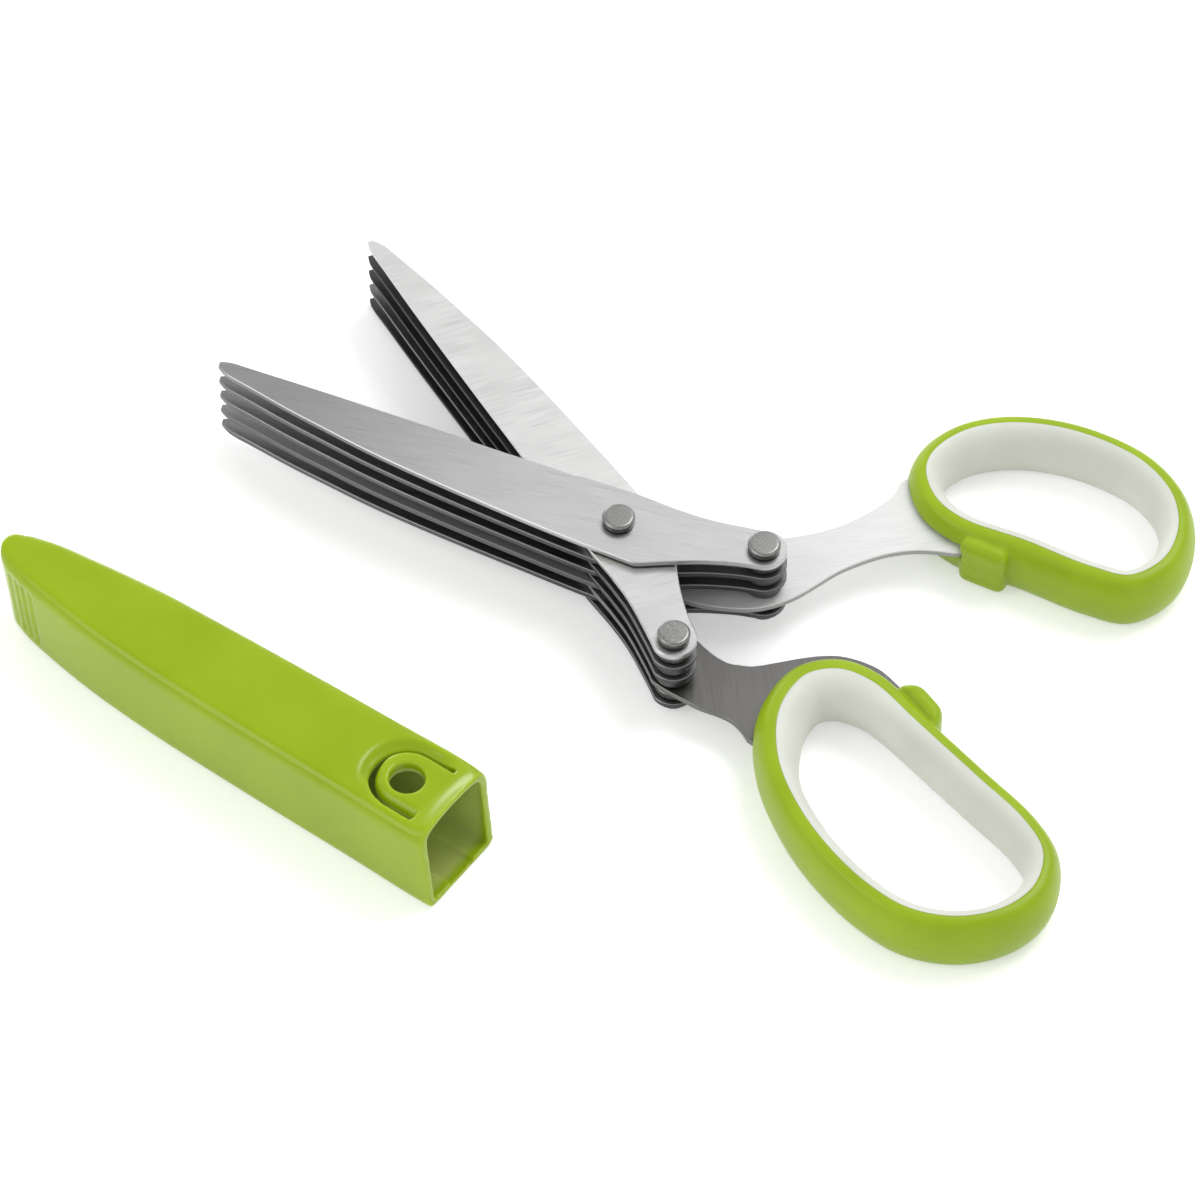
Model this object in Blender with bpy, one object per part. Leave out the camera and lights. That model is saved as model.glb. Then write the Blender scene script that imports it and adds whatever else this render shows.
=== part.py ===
"""Herb scissors with ten interleaved blades on one pivot, two finger loops and a blade cover.

Metres, +Z up. The origin is on the pivot's axis, at the level of the table that everything lies on.
The blades point along -X and the finger loops along +X. Each half is drawn closed, with the
blades' midline on the X axis, and then turned about the pivot by half of the opening.
"""

from math import cos, pi, radians, sin, sqrt, tau

import bmesh
import bpy
from mathutils import Vector

# General
CLEARANCE = 0.0003
OVERRUN = 0.0010
WELD = CLEARANCE / 1000
OPENING = radians(28.96)
ROUND_SIDES = 24

# Blade stack
PAIRS = 5
TANG_PLATE = 4
PLATE_THICKNESS = 0.0015
PLATE_GAP = 0.0003
TIP_SPREAD = 0.00028
SPREAD_LEVEL = 6
BEND_PLACE = 0.0160
PITCH = PLATE_THICKNESS + PLATE_GAP

# Blade outline: shares of the reach from pivot to point, and of the spine's distance from the midline
BLADE_REACH = 0.0822
SPINE_OFFSET = 0.0074
GROUND_WIDTH = 0.0012
EDGE_THICKNESS = 0.0004
SPINE_SHARES = (
    (-0.995, 0.10), (-0.97, 0.24), (-0.90, 0.37), (-0.80, 0.54), (-0.70, 0.67),
    (-0.60, 0.79), (-0.50, 0.87), (-0.35, 0.94), (-0.10, 1.00),
)
EDGE_SHARES = (
    (-0.175, 0.800), (-0.238, 0.753), (-0.324, 0.677), (-0.45, 0.59), (-0.60, 0.478),
    (-0.75, 0.357), (-0.90, 0.212), (-0.98, 0.12), (-0.998, 0.03),
)
NOTCH_SHARES = ((0.10, 0.99), (0.005, 0.99), (-0.125, 0.87), (-0.150, 0.80))

# Tail of a short plate, from the pivot to the eye round the tail rivet
TAIL_REACH = 0.0263
TAIL_DROP = 0.00615
EYE_RADIUS = 0.0042
EYE_STEPS = 10
EYE_FROM = radians(-72)
EYE_TO = radians(90)
HEEL_SHARES = (0.247, 0.987)
SPINE_FLANK_SHARES = (
    (0.289, 2.04), (0.411, 1.77), (0.532, 1.53), (0.650, 1.32), (0.779, 1.16), (0.910, 1.05),
)
EDGE_FLANK_SHARES = (
    (0.894, 0.99), (0.760, 1.005), (0.624, 1.03), (0.479, 1.11), (0.331, 1.27),
)

# Rivets and spacers
HEAD_RADIUS = 0.0030
HEAD_HEIGHT = 0.0015
HEAD_CHAMFER = 0.0004
SHAFT_RADIUS = 0.0019
SPACER_RADIUS = 0.0034

# Finger loops: the lip where shell and liner meet, as shares of a box, and the bulge on either side
LOOP_HEIGHT = 0.0130
SHELL_BULGE = 0.0027
LINER_BULGE = 0.0040
SECTION_FULLNESS = 2.0
SECTION_STEPS = 8
LOOP_A_START = 0.0412
LOOP_A_LENGTH = 0.0498
LOOP_A_BASE = 0.0328
LOOP_A_WIDTH = 0.0290
LOOP_A_STATIONS = 56
LOOP_A_SHARES = (
    (0.017, 0.261), (0.005, 0.437), (0.063, 0.665), (0.176, 0.841), (0.345, 0.965),
    (0.540, 1.007), (0.741, 0.959), (0.900, 0.794), (0.984, 0.559), (0.994, 0.282),
    (0.911, 0.055), (0.760, 0.005), (0.500, 0.009), (0.240, -0.005), (0.110, 0.076),
)
LOOP_B_START = 0.0429
LOOP_B_LENGTH = 0.0623
LOOP_B_BASE = -0.0087
LOOP_B_WIDTH = 0.0335
LOOP_B_STATIONS = 64
LOOP_B_NOSE_BULGE = 0.0022
LOOP_B_NOSE_SHELL = 0.0012
LOOP_B_NOSE_SHARE = 0.33
LOOP_B_SHARES = (
    (-0.006, 0.610), (0.037, 0.775), (0.131, 0.872), (0.322, 0.907), (0.579, 0.957),
    (0.788, 0.994), (0.909, 0.950), (0.992, 0.779), (1.008, 0.555), (0.960, 0.314),
    (0.855, 0.123), (0.710, 0.029), (0.518, 0.000), (0.349, 0.035), (0.195, 0.124),
    (0.067, 0.287), (0.007, 0.466),
)

# Stop blocks on the finger loops, which meet just past the closed pose
STOP_A_FACE = 0.0282
STOP_B_FACE = 0.0275
STOP_HEIGHT = 0.0110
STOP_ROUNDING = 0.0018
STOP_A_LENGTH = 0.0094
STOP_B_LENGTH = 0.0072
STOP_B_TAPER = 0.0027
STOP_A_SHARE = 0.367
STOP_B_SHARE = 0.265

# Tangs: shares of the way from the tail rivet to a corner of the finger loop's box
TANG_LAND = 0.0012
TANG_A_SPINE_SHARES = (
    (-0.900, -0.366), (-0.738, -0.355), (-0.564, -0.340), (-0.322, -0.302), (-0.040, -0.238),
    (0.114, -0.186), (0.302, -0.088), (0.463, 0.036), (0.604, 0.193), (0.745, 0.347),
    (0.906, 0.471), (1.081, 0.583), (1.275, 0.677), (1.483, 0.749), (1.711, 0.801),
    (1.872, 0.829),
)
TANG_A_EDGE_SHARES = (
    (0.819, 1.233), (0.819, 1.105), (0.745, 0.989), (0.604, 0.831), (0.443, 0.700),
    (0.262, 0.591), (0.067, 0.497), (-0.080, 0.437), (-0.450, 0.300), (-0.850, 0.140),
)
TANG_A_SEAT_SHARES = (0.13, -0.04)
TANG_B_SPINE_SHARES = (
    (-0.740, 0.300), (-0.555, 0.270), (-0.370, 0.256), (-0.187, 0.260), (-0.024, 0.270),
    (0.114, 0.289), (0.229, 0.318), (0.307, 0.360), (0.380, 0.402), (0.434, 0.454),
    (0.518, 0.564), (0.602, 0.677), (0.699, 0.784), (0.825, 0.880), (1.000, 0.955),
    (1.223, 1.013), (1.488, 1.032), (1.700, 1.038),
)
TANG_B_EDGE_SHARES = (
    (1.169, 0.082), (1.012, 0.092), (0.855, 0.082), (0.687, 0.040), (0.536, -0.011),
    (0.301, -0.066), (0.120, -0.105), (-0.060, -0.128),
)
TANG_B_SEAT_SHARES = (-0.10, 0.09)

# Cover: each station gives shares of length, half width near and far, height, foot's reach and lip's rise
COVER_LENGTH = 0.1020
COVER_HALF_WIDTH = 0.0098
COVER_HEIGHT = 0.0197
COVER_DRAFT = 0.0003
COVER_WALL = 0.0017
COVER_ROOF = 0.0012
COVER_FLOOR = 0.0011
COVER_NOSE_WALL = 0.0030
COVER_ROOF_CORNER = 0.0025
COVER_FLOOR_CORNER = 0.0014
COVER_CORNER_STEPS = 4
COVER_ROOF_STEPS = 6
COVER_FOOT_REACH = 0.0024
COVER_LIP_RISE = 0.0012
COVER_HOLE_RADIUS = 0.00325
COVER_HOLE_INSET = 0.0103
COVER_PLACE = (0.00949, -0.06812)
COVER_TURN = radians(4.65)
COVER_SHARES = (
    (0.000, 0.085, 0.185, 0.955, 0.86, 0.00), (0.004, 0.150, 0.240, 0.955, 0.84, 0.00),
    (0.011, 0.225, 0.305, 0.956, 0.80, 0.00), (0.030, 0.380, 0.405, 0.958, 0.68, 0.00),
    (0.049, 0.457, 0.480, 0.960, 0.54, 0.00), (0.067, 0.522, 0.545, 0.962, 0.40, 0.00),
    (0.096, 0.580, 0.605, 0.964, 0.18, 0.00), (0.135, 0.645, 0.665, 0.968, 0.00, 0.00),
    (0.175, 0.715, 0.715, 0.972, 0.00, 0.00), (0.214, 0.772, 0.758, 0.976, 0.00, 0.00),
    (0.263, 0.830, 0.806, 0.980, 0.00, 0.00), (0.312, 0.872, 0.846, 0.984, 0.00, 0.00),
    (0.410, 0.926, 0.884, 0.990, 0.00, 0.00), (0.509, 0.953, 0.918, 0.994, 0.00, 0.00),
    (0.607, 0.968, 0.948, 0.997, 0.00, 0.00), (0.705, 0.978, 0.974, 1.000, 0.00, 0.00),
    (0.820, 0.985, 1.003, 1.000, 0.00, 0.00), (0.923, 1.003, 1.035, 1.000, 0.00, 0.00),
    (0.952, 1.008, 1.032, 1.000, 0.20, 0.22), (0.977, 1.008, 1.018, 1.000, 0.45, 0.58),
    (1.000, 1.000, 0.975, 1.000, 0.73, 1.00),
)
TONGUE_RADIUS = 0.0056
TONGUE_SLOT = 0.0012
TONGUE_LEG = 0.0061
TONGUE_STEPS = 12
CHANNEL_DEPTH = 0.0005
CHANNEL_LENGTH = 0.0165
GRIP_COUNT = 4
GRIP_INSET = 0.0042
GRIP_PITCH = 0.0019
GRIP_RADIUS = 0.0009
GRIP_DEPTH = 0.00035
GRIP_MARGIN = 0.0030
GRIP_LEAN = 0.0020


# Scene and materials

def clear_scene():
    for old in list(bpy.data.objects):
        bpy.data.objects.remove(old, do_unlink=True)


def linear(colour):
    """Linear red, green and blue of an sRGB colour in hexadecimal."""
    channels = [int(colour[place:place + 2], 16) / 255 for place in (0, 2, 4)]
    return [c / 12.92 if c <= 0.04045 else ((c + 0.055) / 1.055) ** 2.4 for c in channels]


def material(name, colour, roughness, metallic):
    made = bpy.data.materials.new(name)
    made.use_nodes = True
    shader = made.node_tree.nodes["Principled BSDF"]
    shader.inputs["Base Color"].default_value = (*linear(colour), 1.0)
    shader.inputs["Roughness"].default_value = roughness
    shader.inputs["Metallic"].default_value = metallic
    made.diffuse_color = (*linear(colour), 1.0)
    return made


def empty(name, turn=0.0):
    made = bpy.data.objects.new(name, None)
    made.rotation_euler = (0.0, 0.0, turn)
    bpy.context.scene.collection.objects.link(made)
    return made


def placed(name, shape, finish, parent=None, smooth=None):
    """Turns a bmesh into an object of its own and a mesh with one material."""
    bmesh.ops.remove_doubles(shape, verts=shape.verts, dist=WELD)
    bmesh.ops.recalc_face_normals(shape, faces=shape.faces)
    mesh = bpy.data.meshes.new(name)
    shape.to_mesh(mesh)
    shape.free()
    if smooth is not None:
        mesh.shade_smooth()
        mesh.set_sharp_from_angle(angle=smooth)
    if finish is not None:
        mesh.materials.append(finish)
    made = bpy.data.objects.new(name, mesh)
    bpy.context.scene.collection.objects.link(made)
    made.parent = parent
    return made


def cutter(name, shape, parent=None):
    made = placed(name, shape, None, parent)
    made.hide_render = True
    made.display_type = "WIRE"
    return made


def boolean(target, other, operation):
    added = target.modifiers.new(other.name, "BOOLEAN")
    added.operation = operation
    added.solver = "EXACT"
    added.object = other


# Solids

def swept(sections, closed):
    """Joins sections of equally many points with quads. An open sweep gets flat ends."""
    shape = bmesh.new()
    rings = [[shape.verts.new(point) for point in section] for section in sections]
    following = rings[1:] + ([rings[0]] if closed else [])
    for ring, after in zip(rings, following):
        for index in range(len(ring)):
            side = (index + 1) % len(ring)
            shape.faces.new((ring[index], ring[side], after[side], after[index]))
    if not closed:
        shape.faces.new(rings[0])
        shape.faces.new(rings[-1])
    return shape


def circle(radius, height, place=(0.0, 0.0), sides=ROUND_SIDES):
    turns = [tau * step / sides for step in range(sides)]
    return [(place[0] + radius * cos(turn), place[1] + radius * sin(turn), height) for turn in turns]


def turned(profile, place=(0.0, 0.0)):
    """A solid of revolution about a vertical axis: the profile gives radius and height."""
    return swept([circle(radius, height, place) for radius, height in profile], False)


def area(outline):
    pairs = zip(outline, outline[1:] + outline[:1])
    return sum(a[0] * b[1] - b[0] * a[1] for a, b in pairs) / 2


def outward(outline):
    """Unit normals that point out of a closed anticlockwise outline."""
    normals = []
    for index in range(len(outline)):
        before, after = outline[index - 1], outline[(index + 1) % len(outline)]
        along = Vector((after[0] - before[0], after[1] - before[1])).normalized()
        normals.append((along.y, -along.x))
    return normals


def grown(outline, amount):
    """The outline moved out by the amount, with its corners mitred."""
    moved = []
    for index, here in enumerate(outline):
        before, after = outline[index - 1], outline[(index + 1) % len(outline)]
        first = Vector((here[0] - before[0], here[1] - before[1])).normalized()
        second = Vector((after[0] - here[0], after[1] - here[1])).normalized()
        half = (first + second).normalized()
        reach = amount / max(half.dot(second), 0.5)
        moved.append((here[0] + half.y * reach, here[1] - half.x * reach))
    return moved


def closed_curve(points, stations):
    """Evenly spaced points on a smooth closed curve through the given ones."""
    count = len(points)
    fine = []
    for index in range(count):
        p0, p1, p2, p3 = (Vector(points[(index + shift) % count]) for shift in (-1, 0, 1, 2))
        t1 = sqrt((p1 - p0).length)
        t2 = t1 + sqrt((p2 - p1).length)
        t3 = t2 + sqrt((p3 - p2).length)
        for step in range(stations):
            t = t1 + (t2 - t1) * step / stations
            a1 = p0 * ((t1 - t) / t1) + p1 * (t / t1)
            a2 = p1 * ((t2 - t) / (t2 - t1)) + p2 * ((t - t1) / (t2 - t1))
            a3 = p2 * ((t3 - t) / (t3 - t2)) + p3 * ((t - t2) / (t3 - t2))
            b1 = a1 * ((t2 - t) / t2) + a2 * (t / t2)
            b2 = a2 * ((t3 - t) / (t3 - t1)) + a3 * ((t - t1) / (t3 - t1))
            fine.append(b1 * ((t2 - t) / (t2 - t1)) + b2 * ((t - t1) / (t2 - t1)))
    lengths = [(fine[(i + 1) % len(fine)] - fine[i]).length for i in range(len(fine))]
    spacing = sum(lengths) / stations
    even, travelled, index = [], 0.0, 0
    for station in range(stations):
        while travelled + lengths[index] < station * spacing:
            travelled += lengths[index]
            index += 1
        part = (station * spacing - travelled) / lengths[index]
        even.append(tuple(fine[index].lerp(fine[(index + 1) % len(fine)], part)))
    return even if area(even) > 0 else even[::-1]


# Blade plates

def level_floor(level):
    """Underside of a plate, counted from the lowest one, which lies just over the pivot's lower head."""
    return HEAD_HEIGHT + CLEARANCE + level * PITCH


def blade_front():
    """Spine from the point to the heel, then the cutting edge from the pivot back to the point."""
    spine = [(x * BLADE_REACH, -y * SPINE_OFFSET) for x, y in SPINE_SHARES]
    spine.append((HEEL_SHARES[0] * TAIL_REACH, -HEEL_SHARES[1] * SPINE_OFFSET))
    edge = [(x * BLADE_REACH, y * SPINE_OFFSET) for x, y in NOTCH_SHARES + EDGE_SHARES]
    return spine, edge


def short_tail():
    """Flanks of a short plate, either side of the line from pivot to rivet, and the eye between them."""
    spine = [(x * TAIL_REACH, x * TAIL_DROP - y * EYE_RADIUS) for x, y in SPINE_FLANK_SHARES]
    edge = [(x * TAIL_REACH, x * TAIL_DROP + y * EYE_RADIUS) for x, y in EDGE_FLANK_SHARES]
    eye = []
    for step in range(EYE_STEPS + 1):
        turn = EYE_FROM + (EYE_TO - EYE_FROM) * step / EYE_STEPS
        eye.append((TAIL_REACH + EYE_RADIUS * cos(turn), TAIL_DROP + EYE_RADIUS * sin(turn)))
    return spine + eye + edge


def tang_side(corner, rivet, shares):
    return [(rivet[0] + x * (corner[0] - rivet[0]), rivet[1] + y * (corner[1] - rivet[1])) for x, y in shares]


def plate(outline, thickness, front_edge=0):
    """A flat plate. The last points of its outline are the cutting edge, ground on the lower face."""
    first = len(outline) - front_edge
    low, rim, high = [], [], []
    for index, (x, y) in enumerate(outline):
        is_edge = index >= first
        low.append((x, y - min(GROUND_WIDTH, abs(y)) if is_edge else y, 0.0))
        rim.append((x, y, thickness - EDGE_THICKNESS if is_edge else 0.0))
        high.append((x, y, thickness))
    return swept([low, rim, high], False)


def own_hand(shape, half):
    """Half B's plates are half A's mirrored in the vertical plane through their length."""
    if half == "b":
        bmesh.ops.scale(shape, vec=(1, -1, 1), verts=shape.verts)


def spread(shape, level):
    """Bends a plate ahead of the pivot, so that the points stand a little further apart than the roots."""
    bend = -BEND_PLACE
    everything = list(shape.verts) + list(shape.edges) + list(shape.faces)
    bmesh.ops.bisect_plane(shape, geom=everything, plane_co=(bend, 0, 0), plane_no=(1, 0, 0), dist=WELD)
    slope = (level - SPREAD_LEVEL) * TIP_SPREAD / (BLADE_REACH - BEND_PLACE)
    for vert in shape.verts:
        if vert.co.x < bend:
            vert.co.z += slope * (bend - vert.co.x)


def own_side(points, half):
    """The same for points of a drawing."""
    return [(x, y if half == "a" else -y) for x, y in points]


def short_outline():
    spine, edge = blade_front()
    return spine + short_tail() + edge


def tang_outline(half, lip, corner):
    """The fourth plate: the same blade, running on to a seat that follows the finger loop's lip."""
    spine, edge = blade_front()
    rivet = (TAIL_REACH, TAIL_DROP)
    corner = own_side([corner], half)[0]
    spine_shares = TANG_A_SPINE_SHARES if half == "a" else TANG_B_SPINE_SHARES
    edge_shares = TANG_A_EDGE_SHARES if half == "a" else TANG_B_EDGE_SHARES
    first, last = TANG_A_SEAT_SHARES if half == "a" else TANG_B_SEAT_SHARES
    flank = [(x * TAIL_REACH, x * TAIL_DROP - y * EYE_RADIUS) for x, y in SPINE_FLANK_SHARES[:2]]
    land = grown(lip, TANG_LAND)
    step = 1 if last > first else -1
    stations = range(round(first * len(land)), round(last * len(land)) + step, step)
    seat = own_side([land[station % len(land)] for station in stations], half)
    back = tang_side(corner, rivet, edge_shares)
    if half == "b":
        back += [(x * TAIL_REACH, x * TAIL_DROP + y * EYE_RADIUS) for x, y in EDGE_FLANK_SHARES]
    return spine + flank + tang_side(corner, rivet, spine_shares) + seat + back + edge


def blade(name, half, level, outline, steel, parent, holes):
    shape = plate(outline, PLATE_THICKNESS, len(EDGE_SHARES))
    own_hand(shape, half)
    spread(shape, level)
    bmesh.ops.translate(shape, vec=(0, 0, level_floor(level)), verts=shape.verts)
    made = placed(name, shape, steel, parent)
    boolean(made, holes, "DIFFERENCE")


def hole_cutter(name, places, parent):
    """Upright cylinders through the whole stack, a clearance wider than the rivets' shafts."""
    top = level_floor(2 * PAIRS) + OVERRUN
    radius = SHAFT_RADIUS + CLEARANCE
    shape = bmesh.new()
    for place in places:
        one = swept([circle(radius, -OVERRUN, place), circle(radius, top, place)], False)
        mesh = bpy.data.meshes.new(name)
        one.to_mesh(mesh)
        one.free()
        shape.from_mesh(mesh)
        bpy.data.meshes.remove(mesh)
    return cutter(name, shape, parent)


# Rivets and spacers

def rivet(name, place, low, high, steel, parent):
    """Two chamfered heads on one shaft, from the underside of the lower to the top of the upper."""
    face = HEAD_RADIUS - HEAD_CHAMFER
    profile = (
        (face, low), (HEAD_RADIUS, low + HEAD_CHAMFER), (HEAD_RADIUS, low + HEAD_HEIGHT),
        (SHAFT_RADIUS, low + HEAD_HEIGHT), (SHAFT_RADIUS, high - HEAD_HEIGHT),
        (HEAD_RADIUS, high - HEAD_HEIGHT), (HEAD_RADIUS, high - HEAD_CHAMFER), (face, high),
    )
    placed(name, turned(profile, place), steel, parent, radians(30))


def spacer(name, place, low, high, steel, parent):
    """A washer on the tail rivet that fills the gap between two plates of one half."""
    bore = SHAFT_RADIUS + CLEARANCE
    profile = ((bore, low), (SPACER_RADIUS, low), (SPACER_RADIUS, high), (bore, high))
    rings = []
    for turn in (tau * step / ROUND_SIDES for step in range(ROUND_SIDES)):
        rings.append([(place[0] + r * cos(turn), place[1] + r * sin(turn), z) for r, z in profile])
    placed(name, swept(rings, True), steel, parent, radians(30))


# Finger loops

def loop_lip(start, length, base, width, shares, stations):
    points = [(start + x * length, base + y * width) for x, y in shares]
    return closed_curve(points, stations)


def loop_section(here, normal, side, bulge):
    """Half of a full oval that stands on the lip: side 1 bulges outwards, side -1 into the hole."""
    middle = LOOP_HEIGHT / 2
    points = []
    for step in range(SECTION_STEPS + 1):
        turn = pi * step / SECTION_STEPS - pi / 2
        across = side * (CLEARANCE / 2 + bulge * abs(cos(turn)) ** (2 / SECTION_FULLNESS))
        up = abs(sin(turn)) ** (2 / SECTION_FULLNESS) * (1 if turn > 0 else -1)
        points.append((here[0] + normal[0] * across, here[1] + normal[1] * across, middle * (1 + up)))
    return points


def loop_part(name, lip, side, bulges, finish, parent):
    sections = [loop_section(h, n, side, b) for h, n, b in zip(lip, outward(lip), bulges)]
    return placed(name, swept(sections, True), finish, parent, radians(40))


def stop_block(name, middle, length, taper, face, root, parent):
    """A block from inside the shell to the stop's face, wider at its root by the taper on either side."""
    half = length / 2
    plan = [(middle - half - taper, root), (middle + half + taper, root), (middle + half, face), (middle - half, face)]
    low = (LOOP_HEIGHT - STOP_HEIGHT) / 2
    shape = swept([[(x, y, z) for x, y in plan] for z in (low, low + STOP_HEIGHT)], False)
    bmesh.ops.bevel(
        shape, geom=shape.edges[:], offset=STOP_ROUNDING, segments=2, profile=0.5,
        affect="EDGES", clamp_overlap=True,
    )
    return cutter(name, shape, parent)


def slot_cutter(name, half, level, outline, parent):
    """The tang's own outline, grown by the clearance on all sides."""
    shape = plate(grown(outline, CLEARANCE), PLATE_THICKNESS + 2 * CLEARANCE)
    own_hand(shape, half)
    bmesh.ops.translate(shape, vec=(0, 0, level_floor(level) - CLEARANCE), verts=shape.verts)
    return cutter(name, shape, parent)


# Cover

def cover_section(station, wall, floor, roof):
    """A section across the cover: a rectangle with its corners rounded and its roof arched towards the lip."""
    along, near, far, tall, foot, lip = station
    left, right = wall - near * COVER_HALF_WIDTH, far * COVER_HALF_WIDTH - wall
    low, high = floor, tall * COVER_HEIGHT - roof
    upper = min(COVER_ROOF_CORNER - wall / 2, (right - left) / 3)
    lower = min(COVER_FLOOR_CORNER - wall / 2, (right - left) / 3)
    centres = (
        (right - upper, high - upper, upper), (left + upper, high - upper, upper),
        (left + lower, low + lower, lower), (right - lower, low + lower, lower),
    )
    flat = []
    for quarter, (y, z, radius) in enumerate(centres):
        for step in range(COVER_CORNER_STEPS + 1):
            turn = pi / 2 * (quarter + step / COVER_CORNER_STEPS)
            flat.append((y + radius * cos(turn), z + radius * sin(turn)))
        if quarter == 0:
            for step in range(1, COVER_ROOF_STEPS):
                flat.append((right - upper + (left - right + 2 * upper) * step / COVER_ROOF_STEPS, high))
    middle, reach = (left + right) / 2, (right - left) / 2
    points = []
    for y, z in flat:
        down = 1 - z / COVER_HEIGHT
        across = (y - middle) / reach
        rise = lip * COVER_LIP_RISE * (1 - across * across) if down < 0.5 else 0.0
        x = COVER_HOLE_INSET + (along - 1) * COVER_LENGTH + foot * COVER_FOOT_REACH * down
        points.append((x, y - COVER_DRAFT * down * across, z + rise))
    return points


def skinned(sections):
    """An open sweep whose bent side faces are split into flat triangles."""
    shape = swept(sections, False)
    bmesh.ops.triangulate(shape, faces=shape.faces)
    return shape


def cover_body():
    return skinned([cover_section(station, 0.0, 0.0, 0.0) for station in COVER_SHARES])


def cover_inside():
    """The hollow: the outer form, drawn in by the walls, and run out past the mouth."""
    sections = []
    for station in COVER_SHARES:
        if station[0] * COVER_LENGTH >= COVER_NOSE_WALL:
            sections.append(cover_section(station, COVER_WALL, COVER_FLOOR, COVER_ROOF))
    sections.append([(x + OVERRUN, y, z) for x, y, z in sections[-1]])
    return skinned(sections)


def near_wall(along):
    """Where the cover's near side stands at a share of its length."""
    for before, after in zip(COVER_SHARES, COVER_SHARES[1:]):
        if before[0] <= along <= after[0]:
            part = (along - before[0]) / (after[0] - before[0])
            return -COVER_HALF_WIDTH * (before[1] + (after[1] - before[1]) * part)


def grip(number):
    """A rod that presses one grip groove into the near wall by the nose, and leans like the nose."""
    along = (GRIP_INSET + number * GRIP_PITCH) / COVER_LENGTH
    x = COVER_HOLE_INSET + (along - 1) * COVER_LENGTH
    y = near_wall(along) + GRIP_DEPTH - GRIP_RADIUS
    low, high = GRIP_MARGIN, COVER_HEIGHT - GRIP_MARGIN
    return swept([
        circle(GRIP_RADIUS, z, (x + GRIP_LEAN * (1 - z / COVER_HEIGHT), y), 12) for z in (low, high)
    ], False)


def upright(corners, low, high):
    """A four-sided section that stands on edge: two places in plan, each at both heights."""
    (x0, y0), (x1, y1) = corners
    return [(x0, y0, low), (x1, y1, low), (x1, y1, high), (x0, y0, high)]


def tongue_slot():
    """A slot that runs along one side of the snap hole, round its far end and back along the other."""
    inner, outer = TONGUE_RADIUS, TONGUE_RADIUS + TONGUE_SLOT
    low, high = COVER_HEIGHT - 2 * COVER_ROOF, COVER_HEIGHT + OVERRUN
    sections = [upright(((TONGUE_LEG, inner), (TONGUE_LEG, outer)), low, high)]
    for step in range(TONGUE_STEPS + 1):
        turn = pi / 2 + pi * step / TONGUE_STEPS
        sections.append(upright(
            ((inner * cos(turn), inner * sin(turn)), (outer * cos(turn), outer * sin(turn))), low, high,
        ))
    sections.append(upright(((TONGUE_LEG, -inner), (TONGUE_LEG, -outer)), low, high))
    return swept(sections, False)


def block(low, high):
    plan = [(low[0], low[1]), (high[0], low[1]), (high[0], high[1]), (low[0], high[1])]
    return swept([[(x, y, z) for x, y in plan] for z in (low[2], high[2])], False)


def make_cover(green):
    carrier = empty("cover_place", COVER_TURN)
    carrier.location = (*COVER_PLACE, 0.0)
    body = placed("cover", cover_body(), green, carrier, radians(30))
    inside = cutter("cover_inside", cover_inside(), carrier)
    hole = cutter("cover_snap_hole", swept([
        circle(COVER_HOLE_RADIUS, COVER_HEIGHT - 2 * COVER_ROOF),
        circle(COVER_HOLE_RADIUS, COVER_HEIGHT + OVERRUN),
    ], False), carrier)
    slot = cutter("cover_tongue_slot", tongue_slot(), carrier)
    groove = HEAD_RADIUS + CLEARANCE
    channel = cutter("cover_channel", block(
        (COVER_HOLE_INSET - CHANNEL_LENGTH, -groove, COVER_FLOOR - CHANNEL_DEPTH),
        (COVER_HOLE_INSET + COVER_FOOT_REACH + OVERRUN, groove, COVER_FLOOR + OVERRUN),
    ), carrier)
    grips = [cutter("cover_grip_" + str(number), grip(number), carrier) for number in range(GRIP_COUNT)]
    for other in [inside, hole, slot, channel] + grips:
        boolean(body, other, "DIFFERENCE")


# Assembly

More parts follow.
